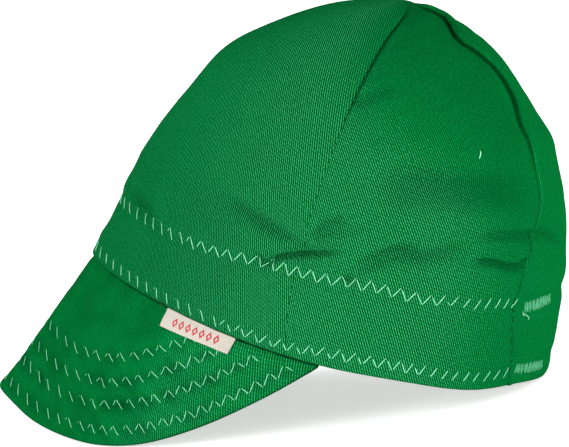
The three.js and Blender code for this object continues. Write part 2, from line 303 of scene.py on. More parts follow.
@dataclass(frozen=True)
class CapForm:
    """The cap's smooth shape in its own frame, in millimetres and degrees.

    +X runs towards the brim, +Y to the wearer's left, +Z up through the crown, and z = 0 is the
    mean height of the hem. The sizes are the solid cap's, but for top_climb: the cloth closes the
    small opening that the solid crown has at its apex.
    """

    half_length: float = 104.5
    half_width: float = 83.0
    front_narrowing: float = 0.233
    crown_height: float = 139.2
    apex_set_back: float = 8.5
    fullness_front: float = 1.8
    fullness_side: float = 2.2
    fullness_back: float = 2.09
    top_climb: float = 0.9996
    crown_cloth: float = 1.5
    band_cloth: float = 1.2
    tongue_cloth: float = 1.0
    brim_quilt: float = 3.0
    brim_edge_cloth: float = 1.8
    label_cloth: float = 0.5
    gap: float = 0.3
    seam_gap: float = 0.5
    band_foot: float = 1.5
    band_top_front: float = 32.5
    band_top_back: float = 37.5
    band_tightness: float = 1.0
    band_shoulder: float = 6.0
    brim_reach: float = 106.0
    beak_forward: float = 52.0
    beak_fade: float = 19.8
    beak_crease: float = 4.0
    lip_flare: float = 2.0
    lip_start: float = 0.86
    tongue_height: float = 7.0
    quilt_run_in: float = 7.0
    edge_taper: float = 5.0
    halvings: int = 22
    rest_pitch: float = 22.335
    rest_shift: float = -26.534
    rest_lift: float = 41.916
    hem_line: Table = (
        (-180, -2.8), (-140, -0.6), (-100, -1.0), (-50, -1.4), (0, -2.8), (25, -2.5), (42, -1.8), (60, -1.4),
        (78, -1.5), (92, -1.5), (106, -1.3), (125, -0.5), (145, -1.6), (162, -0.5), (180, -2.8),
    )
    brim_drops: Table = (
        (0, 81), (8, 80.5), (20, 82), (35, 79.3), (50, 73), (65, 61.6), (80, 43.8), (95, 21.2), (106, 2.5),
    )
    seams: tuple[SeamRow, ...] = (
        SeamRow(0, 97.8, 158.0),
        SeamRow(0.06, 96.5, 156.6),
        SeamRow(0.1, 96.0, 155.2),
        SeamRow(0.16, 96.0, 154.3),
        SeamRow(0.23, 96.1, 157.8),
        SeamRow(0.29, 96.2, 161.4),
        SeamRow(0.37, 96.5, 165.2),
        SeamRow(0.46, 97.2, 164.4),
        SeamRow(0.53, 97.9, 164.6),
        SeamRow(0.6, 98.8, 169.0),
        SeamRow(0.68, 100.1, 168.0),
        SeamRow(0.72, 101.2, 163.5),
        SeamRow(0.77, 103.4, 151.0),
        SeamRow(0.82, 105.9, 153.5),
        SeamRow(0.87, 108.9, 168.0),
        SeamRow(0.9, 110.6, 185.0),
        SeamRow(1, 115.0, 200.0),
    )
    dents: tuple[Dent, ...] = (
        Dent(41, 34, -9, 46, 8, 2.0),
        Dent(85, 48, -13, 36, 9, 2.5),
        Dent(93, 39, 28, 26, 6, 2.0),
        Dent(104, 54, 33, 22, 7, 2.0),
        Dent(120, 50, 24, 34, 7, 2.2),
        Dent(150, 51, -4, 30, 6, 2.3),
        Dent(157, 62, 0, 58, 8, 1.6),
        Dent(138, 78, 6, 74, 14, 2.8),
        Dent(278, 46, 14, 38, 9, 2.2),
        Dent(214, 52, 4, 44, 8, 2.0),
        Dent(228, 80, -8, 70, 14, 2.4),
        Dent(189, 114, 0, 95, 42, 2.7),
        Dent(189, 95, 0, 66, 15, -1.8),
        Dent(33, 102, 0, 123, 37, -3.7),
        Dent(0, -8, 0, 80, 42, -7.0),
    )

    @property
    def tongue_inset(self) -> float:
        """Depth of the brim's middle below the crown's outer face where it is sewn in."""
        return self.crown_cloth + self.seam_gap + self.tongue_cloth / 2

    def hem_height(self, angle: Array) -> Array:
        """Height of the hem at an angle round the head."""
        return smooth_curve(self.hem_line, wrapped(angle))

    def seam(self, seam: Seam, climb: Array) -> Array:
        """The angle at which a seam stands at each climb."""
        return smooth_curve([(row.climb, getattr(row, seam.value)) for row in self.seams], climb)

    def opening(self, angle: Array) -> Array:
        """The egg-shaped head opening at an angle, before any height.

        Args:
            angle: Angle round the head.

        Returns:
            Points at the hem's mean height.
        """
        c, s = np.cos(np.radians(angle)), np.sin(np.radians(angle))
        across = self.half_width * s * (1 - self.front_narrowing * c)
        return np.stack([self.half_length * c, across, np.zeros_like(c)], axis=-1)

    def outward(self, angle: Array) -> Array:
        """The level direction that points straight out of the head opening."""
        along = self.opening(angle + 0.05) - self.opening(angle - 0.05)
        return unit(np.stack([along[..., 1], -along[..., 0], 0 * along[..., 0]], axis=-1))

    def crown(self, angle: Array, climb: Array) -> Array:
        """The crown's smooth form.

        Args:
            angle: Angle round the head, 0 at the front.
            climb: 0 at the hem to 1 at the apex.

        Returns:
            Points of the form.
        """
        angle, climb = np.broadcast_arrays(np.asarray(angle, float), np.asarray(climb, float))
        c = np.cos(np.radians(angle))
        end = np.where(c > 0, self.fullness_front, self.fullness_back)
        power = 2 / (self.fullness_side + (end - self.fullness_side) * c * c)
        rise = np.sin(np.radians(90 * climb)) ** power
        spread = np.cos(np.radians(90 * climb)) ** power
        point = self.opening(angle) * spread[..., None]
        point[..., 0] -= self.apex_set_back * rise**2
        hem = self.hem_height(angle) * (1 - smoothstep(climb, 0, 1 / 3))
        point[..., 2] = self.crown_height * rise + hem
        return point

    def crown_normal(self, angle: Array, climb: Array) -> Array:
        """The outward normal of the crown's smooth form.

        Args:
            angle: Angle round the head.
            climb: 0 at the hem to 1 at the apex.

        Returns:
            Unit directions out of the crown.
        """
        low = np.maximum(climb - 0.002, 0)
        around = self.crown(angle + 0.2, climb) - self.crown(angle - 0.2, climb)
        up = self.crown(angle, np.minimum(climb + 0.002, 1)) - self.crown(angle, low)
        return unit(np.cross(around, up))

    def band_top(self, angle: Array) -> Array:
        """Height of the sweatband's top edge above the hem at an angle."""
        return between((self.band_top_front, self.band_top_back), (1 - np.cos(np.radians(angle))) / 2)

    def broad_relief(self, angle: Array, form: Array) -> Array:
        """How far the cloth stands off its smooth form in its broad folds and at the band.

        Args:
            angle: Angle round the head.
            form: Points of the crown's smooth form at those angles.

        Returns:
            Height of the cloth over the form, in mm.
        """
        reach = np.hypot(form[..., 0], form[..., 1])
        edge = self.band_top(angle)
        clear = smoothstep((form[..., 2] - edge) / self.band_shoulder, -1, 1)
        height = self.band_tightness * (clear - 1)
        for dent in self.dents:
            around = np.radians(wrapped(angle - dent.angle)) * reach
            up = form[..., 2] - dent.height
            cos, sin = cos_sin(dent.rise)
            fade = bell(around * cos + up * sin, dent.length / 2)
            height -= dent.depth * fade * bell(up * cos - around * sin, dent.width / 2)
        return height

    def climb_at(self, angle: Array, height: Array, top: float = 0.95) -> Array:
        """The climb at which the crown stands a height above the hem at an angle.

        Args:
            angle: Angle round the head.
            height: Height above the hem.
            top: The highest climb that is tried.

        Returns:
            The climb, found by halving.
        """
        angle, height = np.broadcast_arrays(np.asarray(angle, float), np.asarray(height, float))
        low, high = np.zeros(angle.shape), np.full(angle.shape, top)
        hem = self.hem_height(angle)
        for _ in range(self.halvings):
            middle = (low + high) / 2
            short = self.crown(angle, middle)[..., 2] - hem < height
            low, high = np.where(short, middle, low), np.where(short, high, middle)
        return (low + high) / 2

    def cloth(self, angle: Array, climb: Array, inset: Array | float) -> Array:
        """A point of the crown's cloth without its fine creases, inset below its outer face.

        Args:
            angle: Angle round the head.
            climb: 0 at the hem to 1 at the apex.
            inset: Depth below the outer face.

        Returns:
            Points of the cloth.
        """
        form = self.crown(angle, climb)
        offset = self.broad_relief(angle, form) - inset
        return form + self.crown_normal(angle, climb) * np.asarray(offset)[..., None]

    def beak_share(self, angle: Array) -> Array:
        """How far the brim is drawn forward at an angle, most at its softly rounded centre crease."""
        return np.exp(-np.hypot(angle, self.beak_crease) / self.beak_fade)

    def brim_edge(self, angle: Array) -> Array:
        """The brim's outer edge, which runs forward to a creased point at the centre.

        Args:
            angle: Angle round the head.

        Returns:
            Points of the edge, before its lip flares out.
        """
        forward = self.beak_forward * self.beak_share(angle) - self.tongue_inset
        edge = self.opening(angle) + self.outward(angle) * forward[..., None]
        edge[..., 2] = -smooth_curve(self.brim_drops, np.abs(angle))
        return edge

    def brim_length(self, angle: Array) -> Array:
        """How far the brim reaches from the hem to its edge at an angle."""
        root = self.cloth(angle, np.zeros_like(angle), self.tongue_inset)
        return np.linalg.norm(self.brim_edge(angle) - root, axis=-1)

    def brim_middle(self, angle: Array, down: Array) -> Array:
        """Middle of the brim's thickness.

        Args:
            angle: Angle round the head.
            down: Distance from the hem towards the edge, below 0 on the tongue in the seam.

        Returns:
            Points of the middle.
        """
        angle, down = np.broadcast_arrays(np.asarray(angle, float), np.asarray(down, float))
        root = self.cloth(angle, np.zeros_like(angle), self.tongue_inset)
        fall = self.brim_edge(angle) - root
        share = down / np.linalg.norm(fall, axis=-1)
        flare = self.lip_flare * self.beak_share(angle) * smoothstep(share, self.lip_start, 1)
        hanging = root + fall * share[..., None] + self.outward(angle) * flare[..., None]
        climb = self.climb_at(angle, np.maximum(-down, 0), 0.2)
        sewn_in = self.cloth(angle, climb, self.tongue_inset)
        return np.where((down < 0)[..., None], sewn_in, hanging)

    def brim_normal(self, angle: Array, down: Array) -> Array:
        """The brim's outward normal.

        Args:
            angle: Angle round the head.
            down: Distance from the hem towards the edge.

        Returns:
            Unit directions out of the brim's upper face.
        """
        around = self.brim_middle(angle + 0.4, down) - self.brim_middle(angle - 0.4, down)
        up = self.brim_middle(angle, down - 0.3) - self.brim_middle(angle, down + 0.3)
        return unit(np.cross(around, up))

    def brim_thickness(self, down: Array, length: Array) -> Array:
        """The brim's thickness: a thin tongue, a quilted body and a tapered edge.

        Args:
            down: Distance from the hem towards the edge.
            length: The brim's whole length there.

        Returns:
            The thickness, in mm.
        """
        filled = smoothstep(down, 0.5, self.quilt_run_in)
        full = smoothstep(length - down, -self.edge_taper / 2, self.edge_taper)
        body = between((self.tongue_cloth, self.brim_quilt), filled)
        return np.minimum(body, between((self.brim_edge_cloth, self.brim_quilt), full))

    def standing(self, directions: Array) -> Array:
        """Directions of the cap's own frame turned to how the cap stands.

        Args:
            directions: Directions of the cap's own frame.

        Returns:
            The same directions in the row's frame.
        """
        cos, sin = cos_sin(self.rest_pitch)
        x, y, z = directions[..., 0], directions[..., 1], directions[..., 2]
        return np.stack([x * cos - z * sin, y, x * sin + z * cos], axis=-1)

    def place(self, points: Array) -> Array:
        """Points of the cap's own frame, in mm, as points of the row frame, in metres."""
        return (self.standing(points) + np.array([self.rest_shift, 0, self.rest_lift])) * MM


# --- meshes
def new_object(name: str, mesh: bpy.types.Mesh, material: Material) -> bpy.types.Object:
    """Links a smooth-shaded mesh object with one material into the scene.

    Args:
        name: The object's name.
        mesh: Its mesh.
        material: Its only material.

    Returns:
        The new object.
    """
    mesh.materials.append(material)
    mesh.polygons.foreach_set("use_smooth", np.ones(len(mesh.polygons), bool))
    piece = bpy.data.objects.new(name, mesh)
    bpy.context.scene.collection.objects.link(piece)
    return piece


def mesh_from(name: str, points: Array, faces: Array) -> bpy.types.Mesh:
    """A mesh from an array of points and one of four-cornered faces.

    Args:
        name: The mesh's name.
        points: Points by 3, in metres.
        faces: Faces by 4, as numbers of points.

    Returns:
        The new mesh.
    """
    mesh = bpy.data.meshes.new(name)
    mesh.vertices.add(len(points))
    mesh.vertices.foreach_set("co", points.astype(np.float32).ravel())
    mesh.loops.add(faces.size)
    mesh.loops.foreach_set("vertex_index", faces.astype(np.int32).ravel())
    mesh.polygons.add(len(faces))
    mesh.polygons.foreach_set("loop_start", np.arange(0, faces.size, 4, dtype=np.int32))
    mesh.update(calc_edges=True)
    return mesh


def cloth_sheet(
    name: str,
    outer: Array,
    inner: Array,
    weave: Array,
    shade: Array,
    rib_highlight: Array,
    material: Material,
    ring: bool = False,
) -> bpy.types.Object:
    """A closed sheet of cloth between two skins over the same grid.

    Args:
        name: The piece's name.
        outer: Outer points, columns by rows by 3, in metres.
        inner: Inner points, the same way.
        weave: Weave coordinates of each point, in mm, columns by rows by 2.
        shade: Painted light and shade at each point, and a random tone on the sweatband, -1 dark to 1 pale.
        rib_highlight: How clearly the cloth's ribs show at each point, as painted highlight, from 0 to 1.
        material: The cloth's material.
        ring: Whether the last column is the first again.

    Returns:
        The new piece.
    """
    columns, rows = outer.shape[0] - 1, outer.shape[1] - 1
    across = columns if ring else columns + 1
    i, j = np.meshgrid(np.arange(columns), np.arange(rows), indexing="ij")

    def corner(skin: int, a: Array, b: Array) -> Array:
        """Number of the grid corner on a skin, before any ring is joined."""
        return (skin * (columns + 1) + a) * (rows + 1) + b

    def quads(*corners: Array) -> Array:
        """Faces from four arrays of corners."""
        return np.stack([c.ravel() for c in corners], axis=-1)

    k, m = np.arange(columns), np.arange(rows)
    foot, head = 0 * k, rows + 0 * k
    faces = [
        quads(corner(0, i, j), corner(0, i + 1, j), corner(0, i + 1, j + 1), corner(0, i, j + 1)),
        quads(corner(1, i, j), corner(1, i, j + 1), corner(1, i + 1, j + 1), corner(1, i + 1, j)),
        quads(corner(1, k, foot), corner(1, k + 1, foot), corner(0, k + 1, foot), corner(0, k, foot)),
        quads(corner(0, k, head), corner(0, k + 1, head), corner(1, k + 1, head), corner(1, k, head)),
    ]
    if not ring:
        start, end = 0 * m, columns + 0 * m
        faces += [
            quads(corner(1, start, m), corner(0, start, m), corner(0, start, m + 1), corner(1, start, m + 1)),
            quads(corner(0, end, m), corner(1, end, m), corner(1, end, m + 1), corner(0, end, m + 1)),
        ]
    skin, rest = np.divmod(np.concatenate(faces), (columns + 1) * (rows + 1))
    column, row = np.divmod(rest, rows + 1)
    vertex = (skin * across + column % across) * (rows + 1) + row
    points = np.concatenate([outer[:across].reshape(-1, 3), inner[:across].reshape(-1, 3)])
    mesh = mesh_from(name, points, vertex)
    layer = mesh.uv_layers.new(name="weave")
    layer.data.foreach_set("uv", (weave.reshape(-1, 2)[rest.ravel()] * MM).astype(np.float32).ravel())
    for attribute, value in (("shade", shade), ("rib_highlight", rib_highlight)):
        values = np.concatenate([value[:across].ravel()] * 2)
        mesh.attributes.new(attribute, "FLOAT", "POINT").data.foreach_set("value", values.astype(np.float32))
    return new_object(name, mesh, material)


def thread_mesh(name: str, centres: Array, normals: Array, radius: float) -> bpy.types.Mesh:
    """One mesh of many short threads.

    Args:
        name: The mesh's name.
        centres: Centre lines, threads by samples by 3, in mm of the row's axes.
        normals: Directions out of the cloth, the same way.
        radius: The thread's radius, in mm, which narrows at both ends.

    Returns:
        The mesh, in metres.
    """
    sides = 6
    threads, samples = centres.shape[:2]
    tangent = unit(np.gradient(centres, axis=1))
    side = unit(np.cross(normals, tangent))
    up = np.cross(tangent, side)
    turn = np.arange(sides) * 2 * np.pi / sides
    along = np.linspace(0, 1, samples)
    thin = radius * (0.55 + 0.45 * np.sin(np.pi * along) ** 0.4)[None, :, None, None]
    ring = up[:, :, None] * np.cos(turn)[:, None] + side[:, :, None] * np.sin(turn)[:, None]
    points = (centres[:, :, None] + ring * thin).reshape(-1, 3)
    t, s, r = np.meshgrid(np.arange(threads), np.arange(samples - 1), np.arange(sides), indexing="ij")

    def corner(ds: int, dr: int) -> Array:
        """Number of a corner of each side face."""
        return ((t * samples + s + ds) * sides + (r + dr) % sides).ravel()

    walls = np.stack([corner(0, 0), corner(0, 1), corner(1, 1), corner(1, 0)], axis=-1)
    first = np.arange(threads)[:, None] * samples * sides
    last = first + (samples - 1) * sides
    caps = np.concatenate([
        first + np.array([3, 2, 1, 0]), first + np.array([5, 4, 3, 0]),
        last + np.array([0, 1, 2, 3]), last + np.array([0, 3, 4, 5]),
    ])
    return mesh_from(name, points * MM, np.concatenate([walls, caps]))


# --- finishes
@dataclass(frozen=True)
class CottonTwill:
    """Vat-dyed cotton drill, woven in a steep twill and washed soft.

    The eye sees fine straight ribs, each a row of short pale floats over a dark ground, with no
    gloss. The floats' paleness is partly painted sheen, and how strongly the ribs show is painted
    highlight: where little light would catch them they are lost in an even green. The ribs are drawn
    about a fifth coarser than real ones.
    """

    name: str
    hollow_colour: str = "#003806"
    ground_colour: str = "#025623"
    shoulder_colour: str = "#067e43"
    # pale floats: the yarn's own colour, lightened as painted sheen
    float_and_sheen_colour: str = "#45ae75"
    wale_spacing: float = 0.93
    float_length: float = 1.7
    float_level: float = 0.8
    float_contrast: float = 0.22
    stagger: float = 0.38
    wander: float = 0.12
    slub: float = 0.3
    mottle: float = 0.05
    relief: float = 0.14
    roughness: float = 0.95
    specular: float = 0.0

    def build(self) -> Material:
        """Builds the material from the weave coordinates, painted light and shade and painted rib highlight
        of each piece.
        """
        material = new_material(self.name, self.roughness, self.specular)
        tree = material.node_tree
        shader = tree.nodes["Principled BSDF"]
        weave = add_node(tree, "UVMap", uv_map="weave")
        wales = add_node(tree, "VectorMath", {0: weave, 3: 1 / (self.wale_spacing * MM)}, operation="SCALE")
        axes = add_node(tree, "SeparateXYZ", {0: wales}).node.outputs
        drift, slubs, blotch = (
            add_node(
                tree, "TexNoise", {"Vector": wales, "Scale": scale, "Detail": detail, "Roughness": rough},
                noise_dimensions="2D",
            )
            for scale, detail, rough in ((0.11, 2.0, 0.5), (0.9, 1.0, 0.7), (0.045, 2.0, 0.5))
        )
        shift = add_node(tree, "Math", {0: drift, 1: self.wander * 2}, operation="MULTIPLY")
        across = add_node(tree, "Math", {0: axes[0], 1: shift}, operation="ADD")
        rib = add_node(tree, "Math", {0: across}, operation="FLOOR")
        offset = add_node(tree, "Math", {0: rib, 1: self.stagger}, operation="MULTIPLY")
        floats_per_wale = self.wale_spacing / self.float_length
        along = add_node(tree, "Math", {0: axes[1], 1: floats_per_wale, 2: offset}, operation="MULTIPLY_ADD")
        angles = [
            add_node(tree, "Math", {0: turns, 1: 2 * math.pi}, operation="MULTIPLY")
            for turns in (across, along)
        ]
        wave, dash = (add_node(tree, "Math", {0: angle}, operation="SINE") for angle in angles)
        levels = {0: dash, 1: self.float_contrast, 2: self.float_level}
        floats = add_node(tree, "Math", levels, operation="MULTIPLY_ADD")
        height = add_node(tree, "Math", {0: wave, 1: floats}, operation="MULTIPLY")
        # the rib_highlight attribute: painted highlight that sets how strongly the real ribs show
        rib_highlight = add_node(tree, "Attribute", output="Fac", attribute_name="rib_highlight")
        shown = add_node(tree, "Math", {0: height, 1: rib_highlight}, operation="MULTIPLY")
        least = 0.5 - self.slub / 2
        slub = add_node(tree, "Math", {0: slubs, 1: self.slub, 2: least}, operation="MULTIPLY_ADD")
        tone = add_node(tree, "Math", {0: shown, 1: 0.5, 2: slub}, operation="MULTIPLY_ADD", use_clamp=True)
        dyed = add_node(tree, "ValToRGB", {0: tone})
        stops = dyed.node.color_ramp.elements
        stops[0].color = srgb(self.hollow_colour)
        stops[1].color = srgb(self.float_and_sheen_colour)
        stops.new(0.5).color = srgb(self.ground_colour)
        stops.new(0.75).color = srgb(self.shoulder_colour)
        swing = {0: blotch, 1: 2 * self.mottle, 2: 1 - self.mottle}
        uneven = add_node(tree, "Math", swing, operation="MULTIPLY_ADD")
        # the shade attribute: painted light and shade on the crown and brim, a random tone on the sweatband
        painted_light_and_shade = add_node(tree, "Attribute", output="Fac", attribute_name="shade")
        value = add_node(tree, "Math", {0: uneven, 1: painted_light_and_shade}, operation="ADD")
        colour = add_node(tree, "HueSaturation", {"Value": value, "Color": dyed})
        bump = add_node(tree, "Bump", {"Height": shown, "Distance": self.relief * MM, "Strength": 0.8})
        tree.links.new(colour, shader.inputs["Base Color"])
        tree.links.new(bump, shader.inputs["Normal"])
        return material


@dataclass(frozen=True)
class SewingThread:
    """Core-spun sewing thread: smooth, pale and a little silky, so it stands out on the cloth."""

    name: str
    pale: str = "#b4ffdc"
    deep: str = "#5fce95"
    patch: float = 2.2
    roughness: float = 0.7
    specular: float = 0.05

    def build(self) -> Material:
        """Builds the material, uneven along the thread as spun thread is."""
        material = new_material(self.name, self.roughness, self.specular)
        tree = material.node_tree
        place = add_node(tree, "TexCoord", output="Object")
        uneven = add_node(tree, "TexNoise", {"Vector": place, "Scale": 1 / (self.patch * MM)})
        dyes = {0: uneven, 6: srgb(self.deep), 7: srgb(self.pale)}
        colour = add_node(tree, "Mix", dyes, 2, data_type="RGBA")
        tree.links.new(colour, tree.nodes["Principled BSDF"].inputs["Base Color"])
        return material


@dataclass(frozen=True)
class WovenRibbon:
    """Damask-woven polyester ribbon: off-white, finely ribbed, with a row of red lozenges."""

    name: str
    ground: str = "#bcb6ab"
    ground_shadow: str = "#a3998c"
    motif: str = "#b02a33"
    length: float = 39.0
    height: float = 7.9
    motif_pitch: float = 3.9
    motif_half: tuple[float, float] = (1.55, 2.2)
    motif_hole: float = 0.42
    margin: float = 5.8
    thread: float = 0.34
    relief: float = 0.05
    roughness: float = 0.7
    specular: float = 0.5

    def build(self) -> Material:
        """Builds the ribbon's weave and its woven row of lozenges."""
        material = new_material(self.name, self.roughness, self.specular)
        tree = material.node_tree
        shader = tree.nodes["Principled BSDF"]
        weave = add_node(tree, "UVMap", uv_map="weave")
        in_mm = add_node(tree, "VectorMath", {0: weave, 3: 1 / MM}, operation="SCALE")
        axes = add_node(tree, "SeparateXYZ", {0: in_mm}).node.outputs
        rib = add_node(tree, "Math", {0: axes[1], 1: self.thread * 2}, operation="DIVIDE")
        rib_turn = add_node(tree, "Math", {0: rib, 1: 2 * math.pi}, operation="MULTIPLY")
        ribs = add_node(tree, "Math", {0: rib_turn}, operation="SINE")
        rib_tone = add_node(tree, "Math", {0: ribs, 1: 0.3, 2: 0.3}, operation="MULTIPLY_ADD")
        tones = {0: rib_tone, 6: srgb(self.ground), 7: srgb(self.ground_shadow)}
        ground = add_node(tree, "Mix", tones, 2, data_type="RGBA")
        cell = add_node(tree, "Math", {0: axes[0], 1: self.motif_pitch / 2}, operation="PINGPONG")
        across = add_node(tree, "Math", {0: cell, 1: self.motif_half[0]}, operation="DIVIDE")
        rise = add_node(tree, "Math", {0: axes[1], 1: self.height * 0.48}, operation="SUBTRACT")
        level = add_node(tree, "Math", {0: rise}, operation="ABSOLUTE")
        up = add_node(tree, "Math", {0: level, 1: self.motif_half[1]}, operation="DIVIDE")
        reach = add_node(tree, "Math", {0: across, 1: up}, operation="ADD")
        lozenge = add_node(tree, "Math", {0: reach, 1: 1.0}, operation="LESS_THAN")
        frame_only = add_node(tree, "Math", {0: reach, 1: self.motif_hole}, operation="GREATER_THAN")
        aside = add_node(tree, "Math", {0: axes[0], 1: self.length / 2}, operation="SUBTRACT")
        from_middle = add_node(tree, "Math", {0: aside}, operation="ABSOLUTE")
        half_row = self.length / 2 - self.margin
        within = add_node(tree, "Math", {0: from_middle, 1: half_row}, operation="LESS_THAN")
        shown = add_node(tree, "Math", {0: lozenge, 1: within}, operation="MULTIPLY")
        motif = add_node(tree, "Math", {0: shown, 1: frame_only}, operation="MULTIPLY")
        colour = add_node(tree, "Mix", {0: motif, 6: ground, 7: srgb(self.motif)}, 2, data_type="RGBA")
        bump = add_node(tree, "Bump", {"Height": ribs, "Distance": self.relief * MM, "Strength": 0.6})
        tree.links.new(colour, shader.inputs["Base Color"])
        tree.links.new(bump, shader.inputs["Normal"])
        return material


@dataclass(frozen=True)
class PaperSweep:
    """Matte white tent paper, plain and lit evenly from behind as well as from inside."""

    name: str
    colour: str = "#fbfbfb"
    glow: float = 0.6

    def build(self) -> Material:
        """Builds the plain paper."""
        material = new_material(self.name, roughness=1.0, specular=0.0)
        shader = material.node_tree.nodes["Principled BSDF"]
        shader.inputs["Base Color"].default_value = srgb(self.colour)
        shader.inputs["Emission Color"].default_value = (1.0, 1.0, 1.0, 1.0)
        shader.inputs["Emission Strength"].default_value = self.glow
        return material


# --- the crown
@dataclass(frozen=True)
class SeamLook:
    """How the cloth lies at a seam, in mm, low down and near the apex.

    fold is the radius to which the turned edges are rounded and groove the stitched valley between
    them. before and after are how far the cloth stands up on the two sides of it, below 0 where it
    sinks, and spread is how far that reaches.
    """

    seam: Seam
    fold: tuple[float, float]
    groove: tuple[float, float]
    before: tuple[float, float]
    after: tuple[float, float]
    spread: tuple[float, float]


@dataclass(frozen=True)
class PanelCut:
    """One crown panel: the seams that bound it and how its cloth was cut.

    turn is added to the end seam's angle. The ribs lean grain degrees off the meridian at
    grain_angle.
    """

    node: str
    start: Seam
    end: Seam
    turn: float
    grain_angle: float
    grain: float
    step: float


@dataclass(frozen=True)
class ZigzagRow:
    """A row of zigzag stitches on the crown, given by the (angle, height) points it runs through.

    Heights are those of the cap's frame. Where the row leans one way its down-going legs show more
    than its up-going ones; showing lists (angle, down-going, up-going) shares from 0 to 1, and slant
    how far the upper holes lie forward, as a share of the period. period lists (angle, length of one
    whole zigzag), and last is the angle at which the row ends, under the fold of the back seam.
    """

    line: Table
    period: Table
    showing: Table
    slant: Table
    last: float = 158.5
    width: float = 4.7
    jitter: float = 0.25
    radius: float = 0.155

    def height(self, angle: Array) -> Array:
        """Height of the row's middle at an angle."""
        return smooth_curve(self.line, wrapped(angle))

    def stitch_length(self, angle: Array) -> Array:
        """How far one whole zigzag runs at an angle."""
        return straight_curve(self.period, angle)

    def prominence(self, angle: Array, rising: Array) -> Array:
        """How much of a leg shows, for legs that rise or fall towards the back."""
        down, up = (straight_curve(self.showing, wrapped(angle), column) for column in (1, 2))
        return np.where(rising, up, down)


FRONT_PERIOD = (
    (-180, 6.2), (-100, 6.4), (-86, 7.4), (-48, 7.5), (-25, 9.8), (25, 9.8), (36, 9.2), (47, 7.5), (84, 7.4),
    (90, 6.4),
)
BAND_ROW = ZigzagRow(
    line=(
        (-180, 35.0), (-135, 34.2), (-100, 32.6), (-60, 29.0), (-23, 28.0), (0, 27.6), (23, 27.8), (43, 28.4),
        (58, 28.2), (67, 28.7), (75, 29.5), (82, 31.0), (90, 32.3), (97, 32.8), (104, 33.4), (110, 34.3),
        (118, 34.8), (126, 33.7), (135, 34.3), (143, 34.0), (149, 34.6), (154, 34.6), (180, 35.0),
    ),
    period=(*FRONT_PERIOD, (130, 6.2), (142, 5.6), (152, 4.7), (158, 4.4)),
    showing=(
        (-180, 0.8, 0.8), (20, 1.0, 0.05), (62, 1.0, 0.2), (75, 0.9, 0.7), (88, 0.85, 0.9), (128, 0.75, 0.9),
        (137, 0.1, 0.95), (142, -0.2, 0.95), (180, -0.2, 0.9),
    ),
    slant=((-90, 0.0), (-65, 0.12), (67, 0.12), (80, 0.0)),
    last=156.7,
)
HEM_ROW = ZigzagRow(
    line=(
        (-180, 4.8), (-150, 4.6), (-115, 5.0), (-88, 2.4), (-41, 2.2), (0, 2.0), (41, 2.2), (88, 2.2),
        (98, 2.6),
        (106, 4.2), (115, 5.4), (123, 5.6), (130, 5.4), (137, 4.4), (144, 4.1), (151, 4.3), (158, 5.3),
        (180, 4.8),
    ),
    period=(*FRONT_PERIOD, (120, 6.2), (130, 5.2), (142, 5.0), (148, 5.7), (158, 5.7)),
    showing=(
        (-180, 0.8, 0.8), (20, 1.0, 0.05), (62, 0.9, 0.1), (76, 0.85, 0.2), (84, 0.6, 0.6), (92, 0.5, 0.85),
        (115, 0.5, 0.85), (126, 0.6, 0.85), (134, 0.05, 0.9), (140, -0.2, 0.9), (180, -0.2, 0.9),
    ),
    slant=((-90, 0.0), (-65, -0.2), (65, -0.2), (78, 0.0)),
)


